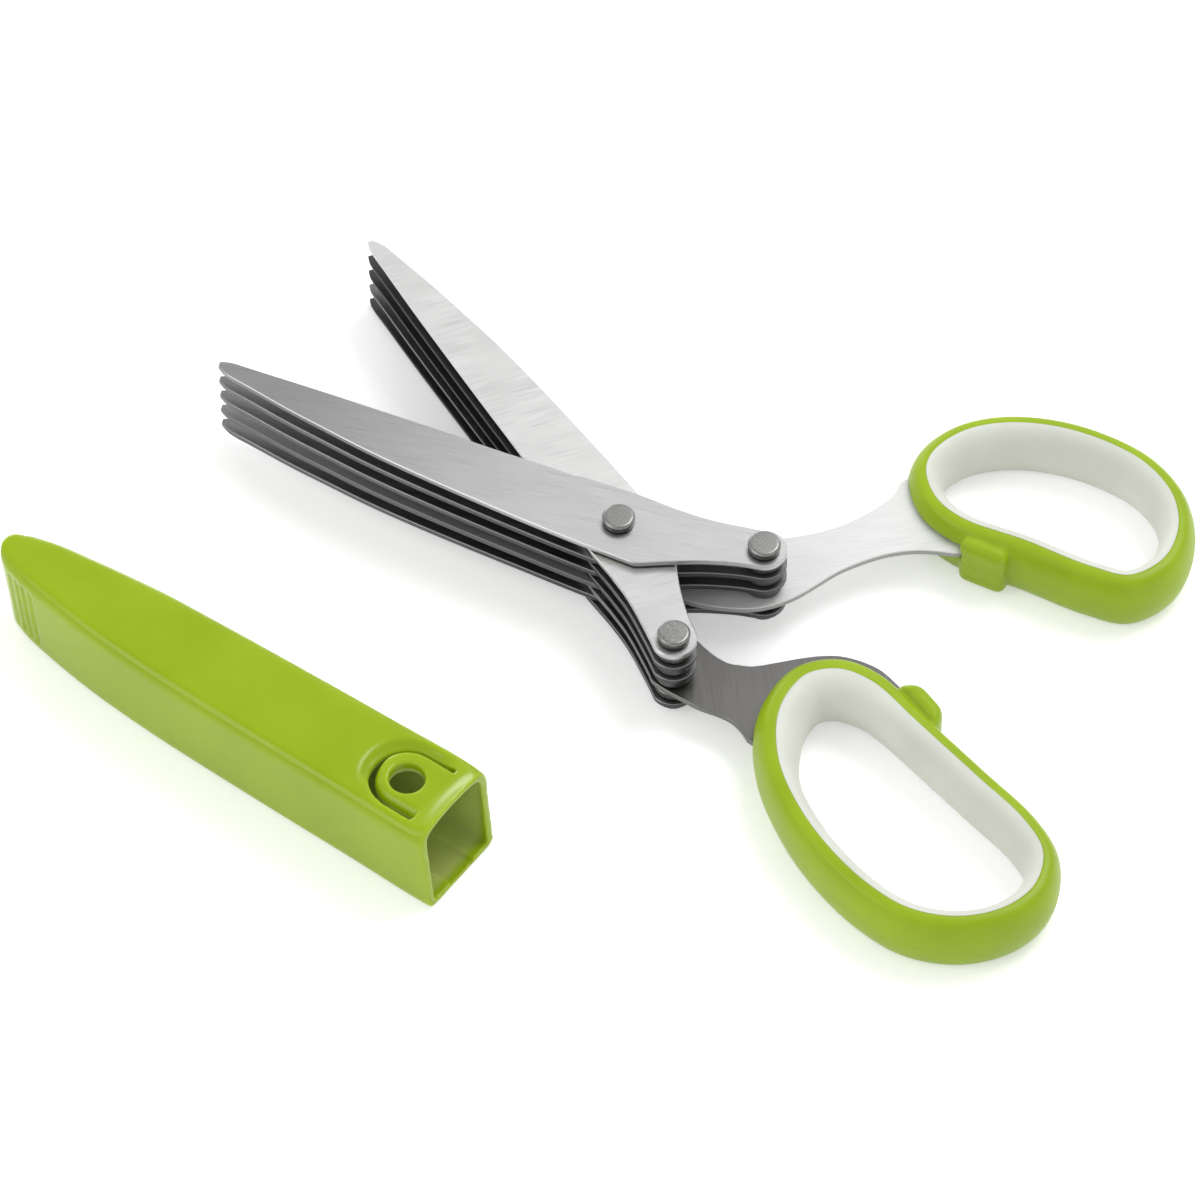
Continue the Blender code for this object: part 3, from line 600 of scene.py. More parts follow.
def repeat_tree():
    """Repeats the object's own mesh a number of times at one step."""
    tree, size = geometry_tree("repeat", {"Count": "Int", "Step": "Vector"})
    line = add(tree, "GeometryNodeMeshLine", {"Count": size["Count"], "Offset": size["Step"]})
    copies = add(tree, "GeometryNodeInstanceOnPoints", {"Points": line, "Instance": size["Geometry"]})
    return ended(tree, size, copies)


# Materials

def surface(name, colour, values):
    """A material with its shader's own values, its tree and the shader's inputs."""
    made = bpy.data.materials.new(name)
    made.use_nodes = True
    made.diffuse_color = linear(colour)
    skin = made.node_tree.nodes["Principled BSDF"].inputs
    for key, value in {"Base Color": linear(colour), **values}.items():
        skin[key].default_value = value
    return made, made.node_tree, skin


def noise_on(tree, sizes, turn=0.0, detail=3.0):
    """Noise on the object's coordinates, turned about the upright axis, with its size along each axis."""
    place = add(tree, "ShaderNodeTexCoord").outputs["Object"]
    turned = add(tree, "ShaderNodeMapping", {"Vector": place, "Rotation": (0.0, 0.0, turn)})
    sized = add(tree, "ShaderNodeMapping", {"Vector": turned, "Scale": [1 / size for size in sizes]})
    return add(tree, "ShaderNodeTexNoise", {"Vector": sized, "Scale": 1.0, "Detail": detail})


def own_place(tree, turn=0.0, origin=(0.0, 0.0)):
    """X, Y and Z of a spot on the object, seen from an origin and turned about the upright axis."""
    own = add(tree, "ShaderNodeMapping", {
        "Vector": add(tree, "ShaderNodeTexCoord").outputs["Object"],
        "Location": (*origin, 0.0), "Rotation": (0.0, 0.0, turn),
    }, {"vector_type": "TEXTURE"})
    return add(tree, SPLIT, {"Vector": own}).outputs


def clouded(tree, shade, colour, size, detail=2.0):
    """A colour that drifts towards its shade and back. Returns it with the noise behind it."""
    cloud = noise_on(tree, (size,) * 3, detail=detail)
    share = add(tree, RANGE, span(cloud, *NOISE), SMOOTH)
    mixed = add(tree, MIX, {0: share, 6: linear(shade), 7: linear(colour)}, COLOUR)
    return mixed.outputs[2], cloud


def coated(tree, skin, colour, noise, low, high):
    """Gives a shader its colour, and a roughness that follows a noise from low to high."""
    rough = add(tree, RANGE, span(noise, *NOISE, low, high), SMOOTH)
    tree.links.new(colour, skin["Base Color"])
    tree.links.new(rough.outputs[0], skin["Roughness"])


def grained(tree, skin, grain, strength, height):
    """Raises a grain on the surface, by a strength and a height."""
    bump = add(tree, "ShaderNodeBump", {"Height": grain, "Strength": strength, "Distance": height})
    tree.links.new(bump.outputs[0], skin["Normal"])
    return bump


def painted_facing_shade(tree, colour, side, under):
    """Painted shade: darkens a steel's upright faces, cut by shearing, by the side node's share, and its
    undersides by the under share, as if they lay in the shade between the plates."""
    facing = add(tree, "ShaderNodeNewGeometry").outputs["Normal"]
    level = add(tree, SPLIT, {"Vector": facing}).outputs["Z"]
    lower = add(tree, RANGE, span(level, *FACING_DOWN, under, 0.0), SMOOTH)
    upright = add(tree, MATH, {0: lower, 1: side}, MAXIMUM)
    upper = add(tree, RANGE, span(level, *FACING_UP), SMOOTH)
    share = add(tree, MIX, {0: upper, 2: upright, 3: 1.0})
    return add(tree, MIX, {0: 1.0, 6: colour, 7: share}, TINT).outputs[2]


def brushed(
    place, half, painted_tones, brush, roughness, streaks=0.06, scratch=0.12,
    sides=(0.6, 0.28), tail=TAIL_SPAN, metallic=1.0,
):
    """Stainless sheet, brushed with a belt: fine parallel scratches that catch the light as short bright and
    dark hairs, over a faint cloudiness. The real scratches are about 0.05 mm apart and are drawn 0.2 mm
    apart, so that they show. The tone runs from the point by the pivot to the tail, as painted reflection and
    painted shade, and the upright faces and undersides get painted shade."""
    name = f"brushed_{place}_{half}"
    made, tree, skin = surface(name, painted_tones[1], {"Roughness": roughness, "Metallic": metallic})
    along = own_place(tree, HALF_TURN[half])["X"]
    turn = -HALF_TURN[half] - radians(brush)
    hairs, clouds = noise_on(tree, HAIR_SIZE, turn), noise_on(tree, CLOUD_SIZE, turn, 2.0)
    # Painted reflection and shade: the tone changes along the half, from the point by the pivot to the tail
    whole = linear(painted_tones[0])
    for tone, change in ((painted_tones[1], PAINTED_TONE_SPAN), (painted_tones[2], tail)):
        share = add(tree, RANGE, span(along, *change), SMOOTH)
        whole = add(tree, MIX, {0: share, 6: whole, 7: linear(tone)}, COLOUR).outputs[2]
    softly = add(tree, MATH, {0: clouds, 1: CLOUD_WEIGHT}, MULTIPLY)
    mixed = add(tree, MATH, {0: hairs, 1: HAIR_WEIGHT, 2: softly}, {"operation": "MULTIPLY_ADD"})
    streak = span(mixed, *STREAK_SPAN, 1.0 - streaks, 1.0 + streaks * STREAK_SHINE)
    shade = add(tree, RANGE, streak, SMOOTH)
    colour = add(tree, MIX, {0: 1.0, 6: whole, 7: shade}, TINT).outputs[2]
    # Painted shade on the upright faces, with a share that changes along the half, and on the undersides
    side = add(tree, RANGE, span(along, *SIDE_SPAN, *sides), SMOOTH)
    colour = painted_facing_shade(tree, colour, side, 0.40)
    coated(tree, skin, colour, hairs, roughness - scratch / 2, roughness + scratch / 2)
    grained(tree, skin, hairs, scratch, 0.02 * MM)
    return made


def cold_headed_steel():
    """Cold-headed steel: a dull, slightly mottled surface with a fine random grain of about 0.3 mm. Its sides
    and undersides are darkened with painted shade.
    """
    made, tree, skin = surface("cold_headed_steel", "A3A3A1", {"Roughness": 0.38, "Metallic": 1.0})
    colour, grain = clouded(tree, "828280", "A3A3A1", HEADED_GRAIN, 4.0)
    # Painted shade on the rivets' sides, a little uneven with the grain, and on their undersides
    side = add(tree, RANGE, span(grain, *NOISE, 0.30, 0.42), SMOOTH)
    coated(tree, skin, painted_facing_shade(tree, colour, side, 0.60), grain, 0.30, 0.46)
    grained(tree, skin, grain, 0.15, 0.03 * MM)
    return made


def off_middle(tree, source, low, high, inner, outer):
    """1 up to the inner distance from the middle between low and high, and 0 from the outer one on."""
    off = add(tree, MATH, {0: source, 1: (low + high) / 2}, SUBTRACT)
    away = add(tree, MATH, {0: off}, {"operation": "ABSOLUTE"})
    return add(tree, RANGE, span(away, inner, outer, 1.0, 0.0), SMOOTH)


def moulded_plastic(name, shade, colour, roughness, grain, shine, depth):
    """Injection-moulded plastic: one even colour, a little light under the surface, and a faint texture
    from the mould. Returns the material with its tree, shader's inputs, colour and texture."""
    made, tree, skin = surface(name, colour, {
        "Roughness": roughness, "IOR": 1.46, "Specular IOR Level": shine, "Subsurface Weight": depth,
        "Subsurface Radius": (1.2, 1.3, 0.6), "Subsurface Scale": 1.6 * MM,
    })
    tinted, cloud = clouded(tree, shade, colour, 14 * MM)
    coated(tree, skin, tinted, cloud, roughness - 0.04, roughness + 0.06)
    texture = grained(tree, skin, noise_on(tree, (grain,) * 3), 0.08, 0.02 * MM)
    return made, tree, skin, tinted, texture


def satin_lime():
    """The finger loops' satin green, with the mould's parting line as a hair along their middle."""
    made, tree, skin, _, texture = moulded_plastic(
        "moulded_lime_plastic", "93AF12", "9EBA18", 0.36, 1.2 * MM, 0.36, 0.25)
    line = off_middle(tree, own_place(tree)["Z"], 0.0, LOOP_HEIGHT, *PARTING_HALF_WIDTH)
    hair = grained(tree, skin, line, 0.5, PARTING_HEIGHT)
    tree.links.new(texture.outputs[0], hair.inputs["Normal"])
    return made


def glossy_lime():
    """The cover's glossy green. Its outer edges are painted yellower, a painted glow of the light that leaves
    it there. Its inner faces are painted duller and paler, painted light that stands in for the light inside
    the hollow."""
    made, tree, skin, tinted, _ = moulded_plastic(
        "glossy_lime_plastic", "98B20F", "9EB812", 0.21, 2.5 * MM, 0.40, 0.4)
    # Painted glow: edges, found by how sharply the skin bends, are tinted yellower
    bent = add(tree, "ShaderNodeNewGeometry").outputs["Pointiness"]
    edge = add(tree, RANGE, span(bent, *PAINTED_GLOW_BEND, 0.0, 0.3), SMOOTH)
    tinted = add(tree, MIX, {0: edge, 6: tinted, 7: linear("B6C41A")}, COLOUR).outputs[2]
    # Painted light: the faces inside the hollow are tinted paler and greyer, as the light through the walls
    # would make them
    spot = own_place(tree, COVER_TURN, COVER_PLACE)
    inner = 1.0
    for axis, (low, high, ramp) in COVER_INNER_PAINTED_LIGHT.items():
        half = (high - low) / 2
        share = off_middle(tree, spot[axis], low, high, half - ramp, half)
        inner = add(tree, MATH, {0: inner, 1: share}, MULTIPLY)
    tinted = add(tree, MIX, {0: inner, 6: tinted, 7: linear("BCC970")}, COLOUR).outputs[2]
    tree.links.new(tinted, skin["Base Color"])
    return made


def soft_liner():
    """Soft white rubber-like plastic, moulded over the shell: satin, faintly translucent, finely grained."""
    made, tree, skin = surface("soft_white_lining", "E3E5DB", {
        "Roughness": 0.48, "IOR": 1.5, "Subsurface Weight": 0.25,
        "Subsurface Radius": (1.4, 1.2, 1.0), "Subsurface Scale": 1.5 * MM,
    })
    tinted, _ = clouded(tree, "D8DACF", "E3E5DB", 18 * MM)
    grain = noise_on(tree, (0.5 * MM,) * 3)
    coated(tree, skin, tinted, grain, 0.42, 0.56)
    grained(tree, skin, grain, 0.2, 0.03 * MM)
    return made


def seen_by(tree, *rays):
    """1 for these kinds of rays, and 0 for all others."""
    path = add(tree, "ShaderNodeLightPath").outputs
    seen = path[rays[0]]
    for ray in rays[1:]:
        seen = add(tree, MATH, {0: seen, 1: path[ray]}, MAXIMUM)
    return seen


def pale_floor():
    """A matt table that keeps the soft shadows and shows as white to the camera and in the steel."""
    made, tree, skin = surface("pale_table", "F9F9F9", {
        "Roughness": 0.9, "Specular IOR Level": 0.0, "Emission Color": (1.0, 1.0, 1.0, 1.0),
    })
    seen = seen_by(tree, "Is Camera Ray", "Is Glossy Ray", "Is Transmission Ray")
    glow = add(tree, MATH, {0: seen, 1: FLOOR_GLOW}, MULTIPLY)
    tree.links.new(glow.outputs[0], skin["Emission Strength"])
    return made


# Blades

def blade_front():
    """Spine from the point to the heel, the notch by the pivot, and the cutting edge back to the point."""
    spine = [(x * BLADE_REACH, -y * SPINE_OFFSET) for x, y in SPINE_SHARES]
    spine.append((HEEL_SHARES[0] * TAIL_REACH, -HEEL_SHARES[1] * SPINE_OFFSET))
    notch = [(x * BLADE_REACH, y * SPINE_OFFSET) for x, y in NOTCH_SHARES]
    edge = [(x * BLADE_REACH, y * SPINE_OFFSET) for x, y in EDGE_SHARES]
    return open_curve(spine), notch, open_curve(edge)


def flank(shares, side):
    """One side of the tail, in shares of the way to the rivet and of the eye's radius."""
    return [(x * TAIL_REACH, x * TAIL_DROP + side * y * EYE_RADIUS) for x, y in shares]


def short_outline():
    """Returns the outline and how many of its last points are the ground edge."""
    spine, notch, edge = blade_front()
    eye = []
    for step in range(EYE_STEPS + 1):
        turn = EYE_FROM + (EYE_TO - EYE_FROM) * step / EYE_STEPS
        eye.append((TAIL_REACH + EYE_RADIUS * cos(turn), TAIL_DROP + EYE_RADIUS * sin(turn)))
    below = open_curve(flank(SPINE_FLANK_SHARES, -1) + [eye[0]])
    above = open_curve([eye[-1]] + flank(EDGE_FLANK_SHARES, 1) + notch[:2])
    return thinned(spine + below + eye + above + notch[2:] + edge), len(edge)


def lip_line(half, stations):
    start, length, base, width = LOOP_BOX[half]
    return closed_curve([(start + x * length, base + y * width) for x, y in LOOP_SHARES[half]], stations)


def tang_outline(half):
    """The same for the plate that runs on into the finger loop."""
    spine, notch, edge = blade_front()
    start, _, base, width = LOOP_BOX[half]
    side = 1 if half == "a" else -1
    corner = (start, base if half == "a" else -(base + width))
    reach = (corner[0] - TAIL_REACH, corner[1] - TAIL_DROP)

    def along(shares):
        return [(TAIL_REACH + x * reach[0], TAIL_DROP + y * reach[1]) for x, y in shares]

    land = grown(lip_line(half, SEAT_STATIONS), TANG_LAND)
    first, last = TANG_SEAT_SHARES[half]
    step = 1 if last > first else -1
    stations = range(round(first * len(land)), round(last * len(land)) + step, step)
    seat = [(land[s % len(land)][0], side * land[s % len(land)][1]) for s in stations]
    front = flank(SPINE_FLANK_SHARES[:2], -1) + along(TANG_SPINE_SHARES[half])
    back = along(TANG_EDGE_SHARES[half])
    if half == "b":
        back += flank(EDGE_FLANK_SHARES, 1)
    back = open_curve(back + notch[:2])
    return thinned(spine + open_curve(front) + seat + back + notch[2:] + edge), len(edge)


def plate_shape(outline, ground, holes, thickness, chamfer):
    """A plate with bored holes, a broken upper edge and a lower one rolled in by the blanking die. The last
    points of its outline are ground from below."""
    inner = grown(outline, -chamfer)
    under, roll = (grown(outline, -DIE_ROLL_WIDTH), DIE_ROLL_HEIGHT) if ground else (inner, chamfer)
    first = len(outline) - ground
    rings = [[], [], [], []]
    for index, ((x, y), (u, v)) in enumerate(zip(outline, inner)):
        if index >= first:
            rings[0].append((x, y - min(GROUND_WIDTH, abs(y) / 2), 0.0))
            rings[1].append((x, y, thickness - EDGE_THICKNESS))
        else:
            rings[0].append((*under[index], 0.0))
            rings[1].append((x, y, roll))
        rings[2].append((x, y, thickness - chamfer))
        rings[3].append((u, v, thickness))
    shape = bmesh.new()
    made = [[shape.verts.new(p) for p in ring] for ring in rings]
    bores = [circle(SHAFT_RADIUS + CLEARANCE, place) for place in holes]
    low_bores = [[shape.verts.new((x, y, 0.0)) for x, y in bore] for bore in bores]
    high_bores = [[shape.verts.new((x, y, thickness)) for x, y in bore] for bore in bores]
    for rings in (made, *zip(low_bores, high_bores)):
        walled(shape, rings)
    for lines in ([made[0]] + low_bores, [made[3]] + high_bores):
        corners = [v for line in lines for v in line]
        flat = [[Vector((v.co.x, v.co.y, 0.0)) for v in line] for line in lines]
        for triangle in tessellate_polygon(flat):
            shape.faces.new([corners[i] for i in triangle])
    return outward(shape)


def spread(shape, level):
    """Bends a plate ahead of the pivot, so that the points stand a little further apart than the roots."""
    bend = -BEND_PLACE
    everything = list(shape.verts) + list(shape.edges) + list(shape.faces)
    bmesh.ops.bisect_plane(shape, geom=everything, plane_co=(bend, 0, 0), plane_no=(1, 0, 0), dist=SAME_SPOT)
    slope = (level - SPREAD_LEVEL) * TIP_SPREAD / (BLADE_REACH - BEND_PLACE)
    for vert in shape.verts:
        if vert.co.x < bend:
            vert.co.z += slope * (bend - vert.co.x)


def make_blade(half, number, finish):
    outline, ground = tang_outline(half) if number == TANG_PLATE else short_outline()
    holes = ((0.0, 0.0), (TAIL_REACH, TAIL_DROP))
    shape = plate_shape(outline, ground, holes, PLATE_THICKNESS, PLATE_CHAMFER)
    if half == "b":
        bmesh.ops.scale(shape, vec=(1, -1, 1), verts=shape.verts)
    spread(shape, plate_level(half, number))
    bmesh.ops.translate(shape, vec=(0, 0, plate_floor(half, number)), verts=shape.verts)
    outward(shape)
    name = f"blade_{half}{number}"
    made = turn_half(shaded(new_object(f"plate_{half}{number}", shape), 30), half)
    dressed(made, finish)
    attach(made, "half_" + half)
    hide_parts(name)


# Rivets and spacers

def make_rivet(name, half, body, place, low, high, finish):
    """Cold-formed heads with nearly flat tops and chamfered rims, on one shaft."""
    upper = [
        (HEAD_RADIUS - HEAD_RIM * share, high - HEAD_DOME - HEAD_RIM * (1 - rise))
        for share, rise in HEAD_RIM_SHARES
    ]
    upper += [
        (HEAD_RADIUS * share, high - HEAD_DOME * (share * HEAD_DOME_FALL) ** 2) for share in HEAD_DOME_SHARES
    ]
    profile = [(SHAFT_RADIUS, high - HEAD_HEIGHT), (HEAD_RADIUS - HEAD_FOOT, high - HEAD_HEIGHT), *upper]
    middle = (low + high) / 2
    profile = [(r, 2 * middle - z) for r, z in reversed(profile)] + profile
    sections = [[(x, y, height) for x, y in circle(radius, place)] for radius, height in profile]
    made = shaded(new_object(name, swept(sections)), 40)
    if half:
        turn_half(made, half)
    dressed(made, finish)
    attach(made, body)
    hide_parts("pivot_rivet" if half is None else "tail_rivet_" + half)


def make_spacers(half, place, finish, tree):
    """Four washers between a half's five eyes, one washer repeated up the rivet."""
    low = plate_floor(half, PAIRS) + PLATE_THICKNESS + CLEARANCE
    high = plate_floor(half, PAIRS - 1) - CLEARANCE
    bore, soft = SHAFT_RADIUS + CLEARANCE, SPACER_ROUND
    profile = (
        (bore, low), (SPACER_RADIUS - soft, low), (SPACER_RADIUS, low + soft),
        (SPACER_RADIUS, high - soft), (SPACER_RADIUS - soft, high), (bore, high),
    )
    rings = [[(place[0] + x * r, place[1] + y * r, z) for r, z in profile] for x, y in circle(1.0)]
    made = new_object(f"washers_{half}", swept(rings, closed=True))
    grown_by(tree, made, {"Count": PAIRS - 1, "Step": (0.0, 0.0, 2 * PITCH), "Finish": finish})
    turn_half(shaded(made, 35), half)
    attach(made, "half_" + half)
    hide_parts(*[f"spacer_{half}{n}" for n in range(1, PAIRS)])


# Finger loops

def lip_object(name, half, part):
    """The lip as a closed line at the bottom level, with how much the oval swells at each point."""
    line = lip_line(half, LIP_STATIONS)
    start = LOOP_BOX[half][0]
    mesh = bpy.data.meshes.new(name)
    mesh.from_pydata([(x, y, 0.0) for x, y in line], [(i, (i + 1) % len(line)) for i in range(len(line))], [])
    swell = mesh.attributes.new("swell", "FLOAT", "POINT")
    for index, (x, _) in enumerate(line):
        share = max(0.0, 1 - (x - start) / NOSE_LENGTH)
        swell.data[index].value = 1 + NOSE_SWELL[part][half] * share * share * (3 - 2 * share)
    return in_scene(name, mesh)


def loop_half(name, half, part, finish, tree):
    """The shell outside the lip, or the liner inside it, which starts at the shell's own seam."""
    made = lip_object(name, half, part)
    tuck = SEAM_INSET - LINER_TUCK
    if part == "shell":
        sizes = {"Bulge": SHELL_BULGE, "Gap": 0.0, "Lead": SEAM_INSET / SHELL_BULGE}
    else:
        sizes = {"Bulge": tuck - LINER_BULGE, "Gap": -tuck, "Lead": 0.0}
    grown_by(tree, made, {**sizes, "Height": LOOP_HEIGHT, "Points": SECTION_POINTS, "Finish": finish})
    shape = bmesh.new()
    shape.from_mesh(made.data)
    bmesh.ops.remove_doubles(shape, verts=shape.verts, dist=SAME_SPOT)
    outward(shape)
    shape.to_mesh(made.data)
    shape.free()
    made.data.attributes.remove(made.data.attributes["swell"])
    return made


def stop_block(half):
    middle, length, taper, face, root = STOPS[half]
    reach = length / 2
    plan = [
        (middle - reach - taper, root), (middle + reach + taper, root),
        (middle + reach, face), (middle - reach, face),
    ]
    low = (LOOP_HEIGHT - STOP_HEIGHT) / 2
    shape = prism(plan, low, low + STOP_HEIGHT)
    bmesh.ops.bevel(
        shape, geom=shape.edges[:], offset=STOP_ROUNDING, segments=4, profile=0.5,
        affect="EDGES", clamp_overlap=True,
    )
    return new_object("stop", shape)


def tang_slot(half):
    """The room that a finger loop leaves for its tang."""
    outline, _ = tang_outline(half)
    thickness = PLATE_THICKNESS + 2 * CLEARANCE
    shape = plate_shape(grown(outline, CLEARANCE), 0, (), thickness, CLEARANCE / 10)
    if half == "b":
        bmesh.ops.scale(shape, vec=(1, -1, 1), verts=shape.verts)
        outward(shape)
    bmesh.ops.translate(shape, vec=(0, 0, plate_floor(half, TANG_PLATE) - CLEARANCE), verts=shape.verts)
    return new_object("slot", shape)


def make_loop(half, finish, liner_finish, tree):
    shell = loop_half(f"shell_{half}", half, "shell", finish, tree)
    combined(shell, [(stop_block(half), "UNION"), (tang_slot(half), "DIFFERENCE")])
    moulded(shell, SHELL_ROUNDS)
    dressed(turn_half(shell, half), finish)
    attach(shell, "half_" + half)
    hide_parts(f"handle_{half}_shell")
    liner = loop_half(f"liner_{half}", half, "liner", liner_finish, tree)
    turn_half(shaded(liner, 50), half)
    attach(liner, "half_" + half)
    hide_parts(f"handle_{half}_liner")


# Cover

def cover_station(share):
    """The cover's shares at a place along it, on smooth curves through the stations."""
    last = len(COVER_SHARES) - 1
    index = min(last - 1, sum(1 for s in COVER_SHARES[1:] if s[0] <= share))
    four = [COVER_SHARES[max(0, min(last, index + shift))] for shift in (-1, 0, 1, 2)]
    run = four[2][0] - four[1][0]
    part = (share - four[1][0]) / run
    found = []
    for place in range(1, 5):
        slopes = []
        for before, after in ((four[0], four[2]), (four[1], four[3])):
            slopes.append((after[place] - before[place]) / max(after[0] - before[0], 1e-6) * run)
        p, q = four[1][place], four[2][place]
        found.append(
            (2 * part ** 3 - 3 * part ** 2 + 1) * p + (part ** 3 - 2 * part ** 2 + part) * slopes[0]
            + (3 * part ** 2 - 2 * part ** 3) * q + (part ** 3 - part ** 2) * slopes[1]
        )
    return found


def top_lift(u, v, middle, reach):
    """How far the top stands off its plain height: it sweeps up to an arched lip at the mouth, and is
    dished round the tongue on the nose's side and the far side."""
    across = max(0.0, 1 - ((v - middle) / reach) ** 2)
    run = max(0.0, (u - COVER_HOLE_INSET + LIP_RUN) / LIP_RUN)
    rise = LIP_RISE * across ** LIP_CROWN * run ** LIP_SWEEP
    outside = hypot(min(u, 0.0), v) - TONGUE_RADIUS - TONGUE_FAR_SLOT
    slope = eased((DISH_REACH - outside) / DISH_WALL)
    fade = 1 - eased((u - TONGUE_LEG * DISH_END[0]) / (TONGUE_LEG * DISH_END[1]))
    side = eased((v + TONGUE_RADIUS * DISH_SIDE[0]) / (TONGUE_RADIUS * DISH_SIDE[1]))
    return rise - DISH_DEPTH * slope * fade * side


def cover_section(share, wall=0.0, floor=0.0, roof=0.0):
    """A section across the cover: a rectangle with rounded corners and many points on its top."""
    near, far, tall, foot = cover_station(share)
    left, right = wall - near * COVER_HALF_WIDTH, far * COVER_HALF_WIDTH - wall
    low, high = floor, tall * COVER_HEIGHT - roof
    upper = min(COVER_ROOF_CORNER - wall / 2, (right - left) / 3)
    lower = min(COVER_FLOOR_CORNER - wall / 3, (right - left) / 3)
    centres = (
        (right - upper, high - upper, upper), (left + upper, high - upper, upper),
        (left + lower, low + lower, lower), (right - lower, low + lower, lower),
    )
    flat = []
    for quarter, (y, z, radius) in enumerate(centres):
        for step in range(CORNER_STEPS + 1):
            turn = pi / 2 * (quarter + step / CORNER_STEPS)
            flat.append((y + radius * cos(turn), z + radius * sin(turn)))
        if quarter == 0:
            for step in range(1, TOP_STEPS):
                flat.append((right - upper + (left - right + 2 * upper) * step / TOP_STEPS, high))
    middle, reach = (left + right) / 2, (right - left) / 2
    points = []
    for y, z in flat:
        down = 1 - z / COVER_HEIGHT
        x = COVER_HOLE_INSET + (share - 1) * COVER_LENGTH + foot * COVER_FOOT_REACH * down
        top = eased((z - high + 2 * upper) / (2 * upper)) * top_lift(x, y, middle, reach)
        points.append((x, y - COVER_DRAFT * down * (y - middle) / reach, z + top))
    return points


def cover_places(first):
    """Places along the cover from the first to the mouth, close together at both ends."""
    places, place = [], first
    while place < 1.0:
        places.append(place)
        place += next(step for until, step in FINE_STEPS if place < until)
    return places + [1.0]


def tongue_plan(radius, end, near, far):
    """Half a circle round the snap hole, run out straight towards the mouth. It stands out by one amount
    on the near side and the nose's side, and by another on the far side."""
    line = []
    for step in range(TONGUE_STEPS + 1):
        turn = pi / 2 + pi * step / TONGUE_STEPS
        out = radius + far + (near - far) * eased(0.5 - TONGUE_EASE * sin(turn))
        line.append((out * cos(turn), out * sin(turn)))
    return line + [(end, line[-1][1]), (end, line[0][1])]


def tongue_shape():
    """The sprung tongue: thick, with a well rounded rim on the near side, growing out of the top."""
    low = COVER_HEIGHT - TONGUE_THICKNESS
    end = TONGUE_LEG + TONGUE_ROOT
    rings = [[(x, y, low) for x, y in tongue_plan(TONGUE_RADIUS, end, 0.0, 0.0)]]
    for step in range(CORNER_STEPS + 1):
        turn = pi / 2 * step / CORNER_STEPS
        inset, drop = 1 - cos(turn), 1 - sin(turn)
        ring = []
        for x, y in tongue_plan(TONGUE_RADIUS, end, -TONGUE_NEAR_RIM * inset, -TONGUE_RIM * inset):
            side = eased(0.5 - TONGUE_EASE * y / TONGUE_RADIUS)
            rim = TONGUE_RIM + (TONGUE_NEAR_RIM - TONGUE_RIM) * side
            ring.append((x, y, COVER_HEIGHT - rim * drop))
        rings.append(ring)
    return swept(rings)


def grip_cutters(tree, finish):
    """Rods that press the grip grooves into the near wall by the nose, and lean with it."""
    first = GRIP_INSET / COVER_LENGTH
    last = first + GRIP_PITCH * (GRIP_COUNT - 1) / COVER_LENGTH
    near, after = (-cover_station(share)[0] * COVER_HALF_WIDTH for share in (first, last))
    rod = new_object("grips", swept([
        [(x + GRIP_LEAN * (1 - z / COVER_HEIGHT), y, z) for x, y in circle(GRIP_RADIUS, sides=GRIP_SIDES)]
        for z in (GRIP_FOOT, COVER_HEIGHT - GRIP_TOP)
    ]))
    slope = (after - near) / (GRIP_COUNT - 1)
    grown_by(tree, rod, {"Count": GRIP_COUNT, "Step": (GRIP_PITCH, slope, 0.0), "Finish": finish})
    start = COVER_HOLE_INSET + (first - 1) * COVER_LENGTH
    rod.data.transform(Matrix.Translation((start, near + GRIP_DEPTH - GRIP_RADIUS, 0.0)))
    return rod


def make_cover(finish, tree):
    body = new_object("blade_cover", swept([cover_section(share) for share in cover_places(0.0)]))
    hollow = [
        cover_section(share, COVER_WALL, COVER_FLOOR, COVER_ROOF)
        for share in cover_places(COVER_NOSE_WALL / COVER_LENGTH)
    ]
    hollow.append([(x + PAST_END, y, z) for x, y, z in hollow[-1]])
    opening = tongue_plan(TONGUE_RADIUS, TONGUE_LEG, TONGUE_SLOT, TONGUE_FAR_SLOT)
    channel = rectangle(
        (COVER_HOLE_INSET - CHANNEL_LENGTH, -CHANNEL_HALF_WIDTH),
        (COVER_HOLE_INSET + PAST_MOUTH, CHANNEL_HALF_WIDTH))
    hole = circle(COVER_HOLE_RADIUS)
    steps = {
        "hollow": swept(hollow),
        "opening": prism(opening, COVER_HEIGHT - SLOT_DEPTH, COVER_HEIGHT + PAST_SLOT),
        "tongue": tongue_shape(),
        "hole": prism(hole, COVER_HEIGHT - 2 * TONGUE_THICKNESS, COVER_HEIGHT + PAST_HOLE),
        "channel": prism(channel, COVER_FLOOR - CHANNEL_DEPTH, COVER_FLOOR + PAST_END),
    }
    others = [new_object(name, shape) for name, shape in steps.items()] + [grip_cutters(tree, finish)]
    combined(body, [(other, "UNION" if other.name == "tongue" else "DIFFERENCE") for other in others])
    moulded(body, COVER_ROUNDS, COVER_THINNING)
    body.data.transform(Matrix.Translation((*COVER_PLACE, 0.0)) @ Matrix.Rotation(COVER_TURN, 4, "Z"))
    dressed(body, finish)
    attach(body, "cover")
    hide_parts("cover")


# Stage

